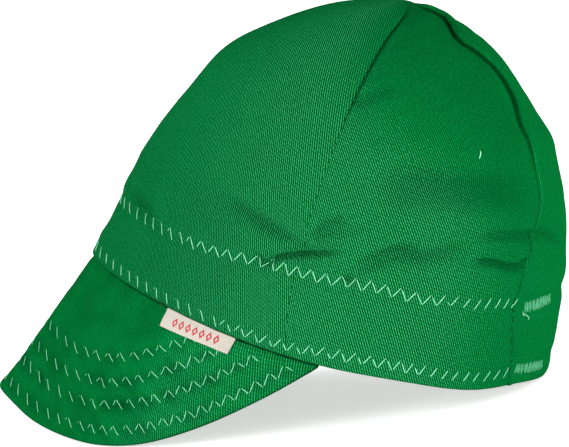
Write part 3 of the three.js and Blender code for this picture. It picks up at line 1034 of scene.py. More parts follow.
@dataclass
class Crown:
    """The four sewn panels of the crown, with their creases, seams and stitch puckers."""

    form: CapForm
    twill: Material
    step: float = 1.3
    fold_step: float = 0.6
    fold_zone: tuple[float, float] = (29.0, 64.0)
    edge_round: float = 0.7
    seam_lap: float = 0.01
    allowance: float = 2.0
    allowance_width: float = 2.0
    fold_at: float = 0.9
    fold_rib_highlight: float = 0.7
    edge_rows: tuple[float, ...] = (0.0, 0.12, 0.35, 0.75, 1.3)
    groove_width: float = 1.0
    row_trough: float = 0.35
    trough_width: float = 2.6
    ridge_offset: float = 5.0
    ridge_width: float = 2.0
    crease_end: float = 3.0
    lip_at: float = 2.2
    # painted shade in the creases: where it sits across the crease and how dark it is
    crease_shade_at: float = 0.3
    crease_shade: float = 0.14
    broad_rumple: float = 0.3
    small_rumple: float = 0.14
    band_rumple: float = 0.35
    # painted light and shade on the crown: paler strip behind the back seam, lighter top, darker foot and
    # front
    back_strip_painted_light: float = 0.16
    top_painted_light: float = 0.06
    foot_painted_shade: float = 0.1
    front_painted_shade: float = 0.06
    hem_shadow: float = 0.45
    hem_shadow_width: float = 0.55
    seam_shadow: float = 0.6
    seam_shadow_width: float = 0.65
    panels: tuple[PanelCut, ...] = (
        PanelCut("crown_panel_front_left", Seam.FRONT, Seam.LEFT, 0, 90, -15, 1.0),
        PanelCut("crown_panel_rear_left", Seam.LEFT, Seam.BACK, 0, 130, -26, 1.0),
        PanelCut("crown_panel_rear_right", Seam.BACK, Seam.RIGHT, 0, 215, 22, 1.4),
        PanelCut("crown_panel_front_right", Seam.RIGHT, Seam.FRONT, 360, 270, 14, 1.4),
    )
    seams: tuple[SeamLook, ...] = (
        SeamLook(Seam.FRONT, (0.25, 0.35), (0.3, 0.5), (0.2, 0.3), (0.2, 0.3), (3.0, 4.0)),
        SeamLook(Seam.LEFT, (0.2, 0.4), (0.18, 0.35), (0.05, 0.6), (0.0, -0.8), (3.0, 5.0)),
        SeamLook(Seam.BACK, (0.05, 0.5), (0.04, 1.0), (0.0, -1.2), (0.7, 1.5), (3.0, 8.0)),
        SeamLook(Seam.RIGHT, (0.15, 0.35), (0.15, 0.4), (0.1, -0.4), (0.1, 0.6), (3.0, 5.0)),
    )
    creases: tuple[Crease, ...] = (
        Crease(
            ((84, 36), (86.5, 33.4), (88.5, 33), (91, 36.7), (95, 39.8), (101, 43), (108, 46.5)),
            2.4, 1.5, 0.6, 0.8,
        ),
        Crease(((72, 52), (78, 50), (84, 47.8), (89, 46), (95, 44), (101, 42.6)), 1.1, 2.4, 1.6, 0.4),
        Crease(((98, 46), (100, 52), (103, 56), (106, 58)), 1.6, 3.2, 2.4, 0.4),
        Crease(((109, 38), (113, 44.5), (119, 50.3), (126, 50.4), (133, 54), (140, 57)), 1.7, 3.6, 2.2, 0.5),
        Crease(((107, 35), (110.5, 35)), 1.5, 1.6, 1.6, 0.2),
        Crease(((138, 51), (146, 51), (151, 49.6), (155, 49.8), (159, 53), (162, 55)), 1.7, 1.7, 0.8, 0.8),
        Crease(((138, 60), (148, 61.8), (158, 61.8), (167, 62), (174, 58), (181, 52)), 1.5, 2.2, 1.1, 0.6),
        Crease(((108, 72), (120, 76), (134, 77.5), (148, 78.5), (160, 79.5)), 1.7, 8.0, 6.0, 0.2),
        Crease(((31, 36), (40, 33), (50, 31.5)), 0.9, 2.2, 2.5, 0.3),
        Crease(((97.2, 98.5), (100, 102.5), (103, 105.8), (107, 108.5), (111, 110)), 1.3, 3.0, 2.2, 0.2),
    )
    crease_lines: list[tuple[Crease, Array, Array, Array]] = field(init=False)

    def __post_init__(self) -> None:
        """Runs each crease's path over the smooth form once."""
        self.crease_lines = [(crease, *self.run_crease(crease)) for crease in self.creases]

    def run_crease(self, crease: Crease) -> tuple[Array, Array, Array]:
        """Points along a crease, how far along it each one lies, and its upward side there.

        Args:
            crease: The crease.

        Returns:
            The points, the run and the unit upward sides.
        """
        angle, height = smooth_path(crease.path, 60)
        climb = self.form.climb_at(angle, height - self.form.hem_height(angle))
        line = self.form.crown(angle, climb)
        tangent = unit(np.gradient(line, axis=0))
        above = unit(np.cross(self.form.crown_normal(angle, climb), tangent))
        return line, run_along(line), above

    def crease_relief(self, points: Array) -> tuple[Array, Array]:
        """How far the creases move the cloth at points of the form, and how they shade it.

        Args:
            points: Points of the crown's smooth form.

        Returns:
            The cloth's height over the form and the change of its shade.
        """
        flat = points.reshape(-1, 3)
        height, shade = np.zeros(len(flat)), np.zeros(len(flat))
        for crease, line, along, above in self.crease_lines:
            reach = 3 * (crease.below + crease.above) + 4
            low, high = line.min(0) - reach, line.max(0) + reach
            near = np.flatnonzero(((flat > low) & (flat < high)).all(-1))
            if not len(near):
                continue
            apart = flat[near, None] - line[None]
            nearest = (apart**2).sum(-1).argmin(-1)
            offset = np.take_along_axis(apart, nearest[:, None, None], 1)[:, 0]
            across = (offset * above[nearest]).sum(-1)
            past = np.linalg.norm(offset - across[:, None] * above[nearest], axis=-1)
            share = along[nearest] / along[-1]
            run_in, run_out = smoothstep(share, -0.02, 0.22), 1 - smoothstep(share, 0.7, 1.02)
            ends = run_in * run_out * bell(past, self.crease_end)
            side = np.where(across < 0, crease.below, crease.above)
            height[near] -= crease.depth * ends * bell(across, side)
            height[near] += crease.lip * ends * bell(across - self.lip_at * crease.above, crease.above)
            # painted shade in the crease's valley
            crease_shaded = bell(across - self.crease_shade_at * crease.above, side)
            shade[near] -= self.crease_shade * crease.depth * ends * crease_shaded
        return height.reshape(points.shape[:-1]), shade.reshape(points.shape[:-1])

    @staticmethod
    def upper_part(climb: Array) -> Array:
        """0 low on the crown, 1 on its upper part."""
        return smoothstep(climb, 0.3, 0.62)

    @staticmethod
    def below_apex(climb: Array) -> Array:
        """1 on most of the crown, and 0 at the apex, where the seams run flat into one another."""
        return 1 - smoothstep(climb, 0.93, 0.99)

    def seam_relief(self, angle: Array, climb: Array, form: Array) -> Array:
        """How far the cloth stands off at the four seams.

        Args:
            angle: Angle round the head.
            climb: 0 at the hem to 1 at the apex.
            form: Points of the smooth form there.

        Returns:
            The cloth's height over the form.
        """
        reach = np.hypot(form[..., 0] + self.form.apex_set_back * climb, form[..., 1])
        high = self.upper_part(climb)
        height = np.zeros(form.shape[:-1])
        for look in self.seams:
            s = np.radians(wrapped(angle - self.form.seam(look.seam, climb))) * reach
            pairs = (look.groove, look.before, look.after, look.spread)
            groove, before, after, spread = (between(pair, high) for pair in pairs)
            raised = np.where(s < 0, before, after) * bell(np.abs(s) - 0.4 * spread, 0.75 * spread)
            height += self.below_apex(climb) * (raised - groove * bell(s, self.groove_width))
        return height

    def stitch_relief(self, angle: Array, form: Array) -> Array:
        """How the two stitch rows draw the cloth in.

        Args:
            angle: Angle round the head.
            form: Points of the smooth form there.

        Returns:
            The cloth's height over the form.
        """
        height = np.zeros(form.shape[:-1])
        for row in (BAND_ROW, HEM_ROW):
            off = form[..., 2] - row.height(angle)
            height -= self.row_trough * bell(off, self.trough_width)
            ridges = sum(bell(off + side * self.ridge_offset, self.ridge_width) for side in (-1, 1))
            height += 0.5 * self.row_trough * ridges
        return height

    def surface(self, angle: Array, climb: Array, inset: Array | float = 0.0) -> tuple[Array, Array, Array]:
        """The crown's cloth with all its relief.

        Args:
            angle: Angle round the head.
            climb: 0 at the hem to 1 at the apex.
            inset: Depth below the cloth's outer face.

        Returns:
            Points of the cap's frame, the outward normals of the form and the shade.
        """
        form = self.form.crown(angle, climb)
        normal = self.form.crown_normal(angle, climb)
        rise = form[..., 2] - self.form.hem_height(angle)
        creased, shade = self.crease_relief(form)
        reach = np.radians(np.mod(angle, 360)) * np.hypot(form[..., 0], form[..., 1])
        calm = smoothstep(climb, 0.0, 0.1) * (1 - smoothstep(climb, 0.85, 0.98))
        calm = calm * (1 - smoothstep(form[..., 0], -5, 10) * bell(form[..., 1], 5.0))
        rumple = self.broad_rumple * cloth_noise(reach, form[..., 2], grain=17, seed=11)
        rumple += self.small_rumple * cloth_noise(reach, form[..., 2], grain=7, seed=12)
        above_band = bell(rise - 40, 14)
        rumple += self.band_rumple * above_band * cloth_noise(reach, form[..., 2] * 2.2, grain=12, seed=13)
        height = self.form.broad_relief(angle, form) + creased + calm * rumple
        height += self.seam_relief(angle, climb, form) + self.stitch_relief(angle, form)
        behind = np.abs(wrapped(angle))
        # painted shade in the rumples' hollows and painted light on their rises, and painted light on the
        # strip behind the back seam
        shade = shade + 0.03 * rumple + self.back_strip_painted_light * smoothstep(behind, 156, 166)
        # over the front: painted light high up, painted shade low down and all over it
        painted_light_and_shade = self.top_painted_light * smoothstep(rise, 80, 120) - self.foot_painted_shade * (1 - smoothstep(rise, 35, 75))
        shade = shade + (painted_light_and_shade - self.front_painted_shade) * (1 - smoothstep(behind, 70, 100))
        return form + normal * (height - inset)[..., None], normal, shade

    def build_panel(self, cut: PanelCut) -> None:
        """One panel as a closed sheet of cloth with rounded edges.

        Where its edge stands up over the next panel's, the seam allowance under it makes it thicker,
        so that no slit opens between the two.

        Args:
            cut: The panel.
        """
        form = self.form
        stations = self.climb_stations()
        start = form.seam(cut.start, stations)
        end = form.seam(cut.end, stations) + cut.turn
        middle = form.crown((start + end) / 2, stations)
        reach = np.hypot(middle[:, 0] + form.apex_set_back, middle[:, 1])
        lap = np.degrees(self.seam_lap / np.maximum(reach, 1))
        width = math.radians(end[0] - start[0]) * reach[0]
        share = spaced(width, cut.step, self.edge_rows)
        angle = (start - lap)[None] + (end - start + 2 * lap)[None] * share[:, None]
        climb = np.broadcast_to(stations, angle.shape)
        high = self.upper_part(stations)
        folds = {look.seam: between(look.fold, high) for look in self.seams}
        from_hem = form.crown(angle, climb)[..., 2] - form.hem_height(angle)
        from_start, from_end = share[:, None] * width, (1 - share[:, None]) * width
        sides = ((cut.start, from_start), (cut.end, from_end))
        turn_in = self.rounding(from_hem, self.edge_round)
        for seam, beside in sides:
            turn_in = turn_in + self.rounding(beside, folds[seam][None])
        turn_in = np.minimum(turn_in, self.edge_round)
        outer, _, shade = self.surface(angle, climb, turn_in)
        under = self.allowance * high * self.below_apex(stations)
        if cut.start is Seam.BACK:
            under = under * bell(from_start, self.allowance_width)
        elif cut.end is Seam.LEFT:
            under = under * bell(from_end, self.allowance_width)
        else:
            under = 0.0
        inner, _, _ = self.surface(angle, climb, form.crown_cloth - turn_in + under)
        shade = shade - self.hem_shadow * bell(from_hem, self.hem_shadow_width)
        for seam, beside in sides:
            if seam in (Seam.LEFT, Seam.BACK):
                shade = shade - self.seam_shadow * high * bell(beside, self.seam_shadow_width)
        rib_highlight = self.rib_highlight(angle, from_hem)
        # painted highlight on the ribs along the back seam's folded edge
        if cut.start is Seam.BACK:
            folded_edge = smoothstep(from_hem, 30, 50) * (1 - smoothstep(from_hem, 88, 105))
            folded_edge = folded_edge * bell(from_start - self.fold_at, 1.0)
            rib_highlight = np.maximum(rib_highlight, self.fold_rib_highlight * folded_edge)
        name, weave = cut.node + "_cloth", self.weave(angle, stations, cut)
        piece = cloth_sheet(name, form.place(outer), form.place(inner), weave, shade, rib_highlight, self.twill)
        finish_piece(piece, cut.node)

    def climb_stations(self) -> Array:
        """Climbs from the hem to the apex, evenly spaced along the cloth but close in the folds."""
        fine = np.linspace(0, 1, 1200) ** 1.3 * self.form.top_climb
        line = self.form.crown(np.full(fine.shape, 75.0), fine)
        length = run_along(line)
        low, high = self.fold_zone
        edge = np.array(self.edge_rows)
        at = np.concatenate([
            edge, np.arange(edge[-1] + self.step, low, self.step), np.arange(low, high, self.fold_step),
            np.linspace(high, length[-1], int((length[-1] - high) / self.step)),
        ])
        return np.interp(at, length, fine)

    @staticmethod
    def rounding(distance: Array, radius: float | Array) -> Array:
        """How far a face has turned in at a distance from its rounded edge."""
        left = np.clip(radius - distance, 0, radius)
        return radius - np.sqrt(radius**2 - left**2)

    @staticmethod
    def rib_highlight(angle: Array, rise: Array) -> Array:
        """How clearly the ribs show, as painted highlight: less at the back and the top, where less light
        catches them.

        Args:
            angle: Angle round the head.
            rise: Height above the hem.

        Returns:
            0 where no rib shows to 1 where they are crisp.
        """
        back = np.abs(wrapped(angle))
        top = smoothstep(rise + 0.5 * np.maximum(back - 97, 0), 84, 130) * smoothstep(back, 80, 115)
        dim_top = 0.82 * top
        dim_back = 0.6 * smoothstep(back, 126, 162) + 0.28 * smoothstep(back, 156, 166)
        flatter_front = 0.72 + 0.28 * smoothstep(back, 40, 90)
        return (1 - dim_back) * (1 - dim_top) * flatter_front

    def weave(self, angle: Array, stations: Array, cut: PanelCut) -> Array:
        """Weave coordinates over a panel: x across the twill's ribs and y along them, in mm.

        Args:
            angle: Angles of the panel's grid, columns by rows.
            stations: The climb of each row.
            cut: The panel.

        Returns:
            The two coordinates of each point of the grid.
        """
        around = np.linspace(angle.min(), angle.max(), 90)
        form = self.form.crown(around[:, None], stations[None])
        across = np.linalg.norm(np.diff(form, axis=0), axis=-1)
        upward = np.linalg.norm(np.diff(form, axis=1), axis=-1)
        u = np.concatenate([np.zeros((1, len(stations))), np.cumsum(across, axis=0)])
        v = np.concatenate([np.zeros((len(around), 1)), np.cumsum(upward, axis=1)], axis=1)
        x, y = np.empty(angle.shape), np.empty(angle.shape)
        for k in range(len(stations)):
            x[:, k] = np.interp(angle[:, k], around, u[:, k]) - np.interp(cut.grain_angle, around, u[:, k])
            y[:, k] = np.interp(angle[:, k], around, v[:, k])
        return turned(x, y, cut.grain)

    def build(self) -> None:
        """Builds all four panels."""
        for cut in self.panels:
            self.build_panel(cut)


def turned(u: Array, v: Array, degrees: float) -> Array:
    """Weave coordinates turned so that the ribs lean a number of degrees off the v axis."""
    cos, sin = cos_sin(degrees)
    return np.stack([u * cos - v * sin, u * sin + v * cos], axis=-1)


def finish_piece(piece: bpy.types.Object, node: str = "") -> None:
    """Rides a piece on the cap, hides any solid that it replaces, and logs it.

    Args:
        piece: The piece.
        node: Name of the solid, where it replaces one.
    """
    if node:
        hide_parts(node)
    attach(piece, BODY)
    log.info("%s: %d faces", piece.name, len(piece.data.polygons))


# --- sweatband, brim, label
@dataclass
class Sweatband:
    """The band of the same cloth, folded over at its top, inside the foot of the crown."""

    form: CapForm
    cloth: Material
    columns: int = 460
    step: float = 1.2
    edge_round: float = 0.5
    edge_rows: tuple[float, ...] = (0.0, 0.15, 0.4, 0.8)
    stitch_heights: tuple[float, float] = (29.5, 3.5)
    half_row: float = 1.9
    legs: int = 150
    rumple_grain: float = 8.0
    ribs_show: float = 0.8

    def surface(self, angle: Array, height: Array, depth: Array | float) -> Array:
        """Points of the band.

        Args:
            angle: Angle round the head.
            height: Height above the hem.
            depth: Depth inwards from the band's outer face.

        Returns:
            Points of the cap's frame.
        """
        form = self.form
        foot = form.crown_cloth + form.tongue_cloth + 2 * form.seam_gap
        top = form.crown_cloth + form.seam_gap
        above = smoothstep((height - form.tongue_height) / (form.band_top(angle) - form.tongue_height), 0, 1)
        inset = between((foot, top), above) + depth
        climb = form.climb_at(angle, height, 0.4)
        reach = np.radians(angle) * form.half_width
        grain = self.rumple_grain
        around = cloth_noise(np.mod(reach, NOISE_CELLS * grain), height, grain, seed=31)
        row = sum(bell(height - middle, 2.4) for middle in self.stitch_heights)
        rumple = 0.16 * around + 0.22 * row - 0.1
        return form.cloth(angle, climb, inset + rumple * smoothstep(depth, 0.4, 1.0))

    def build(self) -> None:
        """Builds the band as a closed ring of cloth."""
        angle = np.linspace(0, 360, self.columns + 1)
        low, top = self.form.band_foot, self.form.band_top(angle)
        share = spaced(32.0, self.step, self.edge_rows)
        height = low + (top[:, None] - low) * share[None]
        angle = np.broadcast_to(angle[:, None], height.shape)
        from_edge = np.minimum(height - low, top[:, None] - height)
        turn_in = Crown.rounding(from_edge, self.edge_round)
        outer = self.surface(angle, height, turn_in)
        inner = self.surface(angle, height, self.form.band_cloth - turn_in)
        around = np.radians(angle) * 0.5 * (self.form.half_width + self.form.half_length)
        weave = turned(around, height, 32)
        shade = -0.05 + 0.03 * cloth_noise(around, height, grain=11, seed=32)
        band = cloth_sheet(
            "sweatband_cloth", self.form.place(outer), self.form.place(inner),
            weave, shade, self.ribs_show + 0 * shade, self.cloth, ring=True,
        )
        finish_piece(band, "sweatband")


@dataclass
class Brim:
    """The quilted brim: two layers of twill with rows of zigzag stitches that follow its edge."""

    form: CapForm
    twill: Material
    step: float = 1.1
    edge_round: float = 0.85
    edge_rows: tuple[float, ...] = (0.0, 0.15, 0.4, 0.8, 1.4)
    root_rows: tuple[float, ...] = (-1.6, -1.2, -0.9, -0.6, -0.3)
    rows: tuple[Table, ...] = (
        ((0, 6.4), (15, 6.9), (60, 7.2), (78, 7.9), (106, 8.0)),
        ((0, 19.0), (47, 18.5), (66, 20.0), (80, 21.5), (106, 21.5)),
        ((0, 29.5), (30, 28.9), (47, 28.6), (60, 30.4), (72, 32.8), (106, 33.2)),
        ((0, 41.3), (25, 40.6), (46, 39.9), (57, 41.3), (66, 43.3), (106, 44.0)),
    )
    rows_end: float = 104.0
    root_margin: float = 2.2
    row_width: Table = ((0, 4.7), (50, 4.8), (70, 5.6))
    period: Table = ((0, 10.6), (25, 10.2), (45, 9.8), (60, 9.0), (75, 8.2), (106, 7.8))
    row_scale: tuple[float, ...] = (0.92, 0.98, 1.03, 1.04)
    slant: Table = ((0, 0.1), (45, 0.1), (65, 0.3), (75, 0.38), (106, 0.4))
    trough: float = 0.34
    trough_width: float = 2.3
    puff: float = 0.2
    puff_offset: float = 5.5
    puff_width: float = 3.2
    pucker: float = 0.62
    pucker_width: float = 4.6
    broad_rumple: float = 0.26
    small_rumple: float = 0.12
    pucker_radius: float = 88.0
    weave_radius: float = 96.0
    relief_shade: float = 0.44
    edge_shadow: float = 0.6
    root_shadow: float = 0.9

    @staticmethod
    def either_side(table: Table, angle: Array) -> Array:
        """A table's value at an angle, the same on both sides of the brim's centre."""
        return straight_curve(table, np.abs(angle))

    def relief(self, angle: Array, from_edge: Array) -> Array:
        """How far the quilted cloth stands off the brim's smooth faces.

        Args:
            angle: Angle round the head.
            from_edge: Distance in from the brim's edge.

        Returns:
            Height over the smooth face, in mm.
        """
        along = np.radians(angle) * self.pucker_radius
        height = np.zeros(np.shape(from_edge))
        side = 0.55 + 0.45 * smoothstep(np.abs(angle), 30, 65)
        for number, row in enumerate(self.rows):
            past = from_edge - self.either_side(row, angle)
            puffed = self.puff * bell(past - self.puff_offset, self.puff_width)
            height += side * (puffed - self.trough * bell(past, self.trough_width))
            drawn = cloth_noise(along + from_edge + 40 * number, from_edge * 0.25, grain=4.4, seed=43)
            height += self.pucker * side * drawn * bell(past, self.pucker_width)
        calm = smoothstep(from_edge, 0, 3)
        height += calm * self.broad_rumple * cloth_noise(along + 300, from_edge * 1.4, grain=9, seed=41)
        height += calm * self.small_rumple * cloth_noise(along + 300, from_edge, grain=5, seed=42)
        return height

    def surface(
        self, angle: Array, from_edge: Array, face: int, turn_in: Array | float = 0.0
    ) -> tuple[Array, Array]:
        """Points of the brim's upper or under face.

        Args:
            angle: Angle round the head.
            from_edge: Distance in from the brim's edge, past its length on the tongue.
            face: 1 for the upper face, -1 for the under face.
            turn_in: How far the face has turned in at a rounded edge.

        Returns:
            Points of the cap's frame and the directions out of the face.
        """
        length = self.form.brim_length(angle)
        down = length - from_edge
        half = self.form.brim_thickness(down, length) / 2
        lift = self.relief(angle, from_edge) * smoothstep(down, 0.5, 6)
        off = np.maximum(half + lift - turn_in, 0.1)
        normal = self.form.brim_normal(angle, down)
        return self.form.brim_middle(angle, down) + face * normal * off[..., None], face * normal

    def build(self) -> None:
        """Builds the brim as one closed padded sheet."""
        reach = self.form.brim_reach
        fine = np.linspace(-reach, reach, 1500)
        run = run_along(self.form.brim_middle(fine, 0.6 * self.form.brim_length(fine)))
        angle = np.interp(spaced(run[-1], self.step, self.edge_rows) * run[-1], run, fine)
        length = self.form.brim_length(angle)
        share = spaced(95.0, self.step, self.edge_rows, both=False)
        tongue = np.append(self.root_rows, np.linspace(0, self.form.tongue_height, 6))
        root = np.minimum(length, 4)[:, None] / 2
        sewn_in = length[:, None] + np.where(tongue < 0, root / 2, 1) * tongue
        from_edge = np.concatenate([(length[:, None] - root) * share[None], sewn_in], axis=1)[:, ::-1]
        angle = np.broadcast_to(angle[:, None], from_edge.shape)
        end = (reach - np.abs(angle)) * 1.5
        edge = np.minimum(np.minimum(from_edge, end), from_edge[:, :1] - from_edge)
        turn_in = Crown.rounding(edge, self.edge_round)
        upper, _ = self.surface(angle, from_edge, 1, turn_in)
        under, _ = self.surface(angle, from_edge, -1, turn_in)
        upper, under, from_edge, angle = (grid[:, ::-1] for grid in (upper, under, from_edge, angle))
        weave = turned(np.radians(angle) * self.weave_radius, -from_edge, 8)
        shade = self.relief_shade * self.relief(angle, from_edge) - self.edge_shadow * bell(from_edge, 0.6)
        shade = shade - self.root_shadow * bell(length[:, None] - from_edge - 0.8, 0.45)
        # painted highlight: the ribs show more towards the sides and back of the brim
        rib_highlight = 0.15 + 0.6 * smoothstep(np.abs(angle) + 0.25 * (50 - from_edge), 52, 78)
        under, upper = self.form.place(under), self.form.place(upper)
        brim = cloth_sheet("brim_cloth", under, upper, weave, shade, rib_highlight, self.twill)
        finish_piece(brim, "brim")


@dataclass
class Label:
    """The woven label, caught in the hem seam and hanging on the brim."""

    form: CapForm
    ribbon: Material
    start: float = 63.5
    end: float = 84.8
    below: float = 0.5
    height: float = 8.4
    end_height: float = 6.9
    lean: float = 0.7
    wave: float = 0.22
    rumple: float = 0.12
    curl: float = 0.5
    columns: int = 60
    rows: int = 24

    def surface(self, across: Array, hang: Array, off: float) -> Array:
        """Points of the label: across it, down it and off the brim.

        Args:
            across: 0 at the front end to 1 at the rear end.
            hang: 0 in the seam to 1 at the lower edge.
            off: Distance off the label's inner face.

        Returns:
            Points of the cap's frame.
        """
        form = self.form
        angle = self.start + (self.end - self.start) * across - self.lean * hang
        down = self.below + (self.height + (self.end_height - self.height) * across) * hang
        half = form.brim_thickness(down, form.brim_length(angle)) / 2
        rumple = self.rumple * cloth_noise(across * 21, hang * 8, grain=3.1, seed=51)
        wave = self.wave * np.sin(5.5 * across + 1.2) * hang + rumple
        curl = self.curl * smoothstep(hang, 0.55, 1) * smoothstep(across, 0.75, 1)
        stand = half + form.gap + off + wave + curl
        return form.brim_middle(angle, down) + form.brim_normal(angle, down) * stand[..., None]

    def build(self) -> None:
        """Builds the label as a closed sheet."""
        across, hang = np.meshgrid(
            np.linspace(0, 1, self.columns + 1), np.linspace(1, 0, self.rows + 1), indexing="ij"
        )
        outer = self.surface(across, hang, self.form.label_cloth)
        inner = self.surface(across, hang, 0.0)
        width = run_along(outer[:, -1])[-1]
        fall = self.height + (self.end_height - self.height) * across
        weave = np.stack([across * width, (1 - hang) * fall], axis=-1)
        outer, inner, plain = self.form.place(outer), self.form.place(inner), 0 * hang
        label = cloth_sheet("woven_label", outer, inner, weave, plain, plain, self.ribbon)
        finish_piece(label, "label")


# --- sewing
@dataclass(frozen=True)
class LooseThread:
    """A loose thread that runs through (angle, height, stand-off) points of the crown."""

    name: str
    radius: float
    path: Table
    dark: bool = False


@dataclass
class Sewing:
    """Every row of zigzag stitches, the bar tacks and the loose threads of the cap."""

    form: CapForm
    crown: Crown
    brim: Brim
    band: Sweatband
    thread: Material
    rubbed_thread: Material
    dark_thread: Material
    row_start: float = -167.0
    samples: int = 7
    sunk: float = 1.6
    arch: float = 0.12
    dive: float = 0.55
    brim_radius: float = 0.135
    tack_radius: float = 0.16
    loose: tuple[LooseThread, ...] = (
        LooseThread(
            "lint", 0.2,
            ((139.9, 92.2, 0.1), (139.8, 91.2, 0.4), (139.6, 90.3, 0.4), (139.4, 89.4, 0.1)),
        ),
        LooseThread(
            "loose_end_long", 0.15,
            ((159, 30, 0.1), (159.6, 29.2, 0.9), (160.6, 28.4, 0.8), (161.3, 27, 0.2)),
        ),
        LooseThread("loose_end_short", 0.15, ((158.6, 31, 0.0), (158, 30, 0.7), (158.9, 29.1, 0.5))),
        LooseThread(
            "hem_knot", 0.36,
            (
                (61.4, -1.2, 0.2), (62, -0.6, 0.7), (62.8, -1.3, 0.8), (62.2, -1.9, 0.6),
                (61.6, -1.3, 0.7), (62.6, -0.9, 0.9), (63.2, -1.6, 0.3),
            ),
            dark=True,
        ),
    )

    def lay(self, name: str, points: Array, normals: Array, radius: float, thread: Material) -> None:
        """Lays threads along lines of points of the cap's frame, all as one piece.

        Args:
            name: The piece's name.
            points: Threads by samples by 3, in mm.
            normals: Directions out of the cloth, the same way.
            radius: The threads' radius.
            thread: Their material.
        """
        mesh = thread_mesh(name, self.form.place(points) / MM, self.form.standing(normals), radius)
        finish_piece(new_object(name, mesh, thread))

    def legs(
        self,
        name: str,
        holes: Array,
        showing: Array,
        onto: Placing,
        radius: float,
        thread: Material | None = None,
    ) -> None:
        """Threads from each needle hole to the next one.

        Args:
            name: The piece's name.
            holes: The holes' two coordinates on the cloth, in sewing order.
            showing: How much of each leg stands out of the cloth, from 0 to 1, most at its last hole.
            onto: Gives points of the cap's frame and outward normals from the two coordinates.
            radius: The thread's radius.
            thread: The thread's material, where it isn't the usual one.
        """
        t = np.linspace(0, 1, self.samples)
        path = holes[:-1, None] * (1 - t)[None, :, None] + holes[1:, None] * t[None, :, None]
        point, normal = onto(path[..., 0], path[..., 1])
        share = showing[:, None] + 2 * (1 - showing[:, None]) * (t - 0.6)[None]
        lift = radius * ((1 + self.sunk) * share - self.sunk)
        lift = lift + self.arch * showing[:, None] * np.sin(np.pi * t)[None]
        lift = lift - self.dive * (1 - np.sin(np.pi * np.clip(t, 0.02, 0.98)) ** 0.25)[None]
        self.lay(name, point + normal * lift[..., None], normal, radius, thread or self.thread)

    def crown_row(self, name: str, row: ZigzagRow, seed: int) -> None:
        """One zigzag row round the crown, from beyond the strip behind the back seam to that seam.

        Args:
            name: The piece's name.
            row: The row.
            seed: Which random unevenness it has.
        """
        random = np.random.default_rng(seed)
        fine = np.linspace(self.row_start, row.last, 3000)
        legs = run_along(self.form.opening(fine), row.stitch_length(fine[1:]) / 2)
        count = int(legs[-1])
        hole = np.arange(count + 1)
        upper = hole % 2
        forward = 2 * upper * straight_curve(row.slant, np.interp(hole, legs, fine))
        angle = np.interp(hole - forward, legs, fine) + random.uniform(-0.16, 0.16, count + 1)
        side = (upper - 0.5) * row.width
        height = row.height(angle) + side + random.uniform(-row.jitter, row.jitter, count + 1)
        showing = row.prominence((angle[:-1] + angle[1:]) / 2, side[1:] > 0)
        showing = np.clip(showing + random.uniform(-0.15, 0.1, count), -0.3, 1)
        self.legs(name, np.stack([angle, height], axis=-1), showing, self.on_crown, row.radius)

    def on_crown(self, angle: Array, height: Array) -> tuple[Array, Array]:
        """The crown's outer face at angles and heights of the cap's frame.

        Args:
            angle: Angle round the head.
            height: Height in the cap's frame.

        Returns:
            Points and unit directions out of the cloth.
        """
        climb = self.form.climb_at(angle, height - self.form.hem_height(angle), 0.6)
        point, normal, _ = self.crown.surface(angle, climb)
        return point, normal

    def in_band(self, angle: Array, height: Array) -> tuple[Array, Array]:
        """The sweatband's inner face at angles and heights above the hem.

        Args:
            angle: Angle round the head.
            height: Height above the hem.

        Returns:
            Points and unit directions out of the cloth.
        """
        point = self.band.surface(angle, height, np.full(np.shape(angle), self.form.band_cloth))
        climb = self.form.climb_at(angle, height, 0.4)
        return point, -self.form.crown_normal(angle, climb)

    def band_rows(self) -> None:
        """The same two rows as they show on the sweatband inside."""
        random = np.random.default_rng(5)
        count = self.band.legs
        for number, (row, middle) in enumerate(zip((BAND_ROW, HEM_ROW), self.band.stitch_heights)):
            angle = np.linspace(-202, 158, count + 1) + random.uniform(-0.2, 0.2, count + 1)
            side = np.where(np.arange(count + 1) % 2, 1, -1) * self.band.half_row
            holes = np.stack([angle, middle + side + random.uniform(-0.25, 0.25, count + 1)], axis=-1)
            self.legs(f"band_stitches_{number}", holes, np.full(count, 0.8), self.in_band, row.radius)

    def brim_row(self, name: str, number: int, face: int, random: np.random.Generator) -> None:
        """One quilting row of the brim, on its upper face (1) or its under face (-1).

        Args:
            name: The piece's name.
            number: Which row, from the edge inwards.
            face: 1 or -1.
            random: Where its unevenness comes from.
        """
        brim, row, across = self.brim, self.brim.rows[number], self.brim.either_side
        fine = np.linspace(-brim.rows_end, brim.rows_end, 1200)
        fine = fine[self.form.brim_length(fine) > across(row, fine) + brim.root_margin]
        line, _ = brim.surface(fine, across(row, fine), face)
        run = run_along(line, across(brim.period, fine[1:]) * brim.row_scale[number] / 2)
        count = int(run[-1])
        hole = np.arange(count + 1)
        inward = hole % 2
        slant = across(brim.slant, np.interp(hole, run, fine))
        at = hole - 2 * slant * inward + random.uniform(-0.07, 0.07, count + 1)
        angle = np.interp(at, run, fine)
        side = (inward - 0.5) * across(brim.row_width, angle)
        holes = np.stack([angle, across(row, angle) + side], axis=-1)
        holes[:, 1] += random.uniform(-0.25, 0.25, count + 1)
        away = np.abs(holes[1:, 0] + holes[:-1, 0]) / 2
        middle_part, back = smoothstep(away, 26, 48), smoothstep(away, 62, 78)
        short = 0.05 + 0.3 * middle_part + 0.45 * back
        showing = np.where(inward[1:] > 0, short, 0.92 - 0.3 * back)
        showing = np.clip(showing + random.uniform(-0.12, 0.12, count), 0, 1)
        self.legs(name, holes, showing, partial(brim.surface, face=face), self.brim_radius)

    def brim_rows(self) -> None:
        """The brim's quilting rows, on its upper and under face."""
        random = np.random.default_rng(7)
        for number in range(len(self.brim.rows)):
            for side, face in (("upper", 1), ("under", -1)):
                self.brim_row(f"brim_stitches_{side}_{number}", number, face, random)

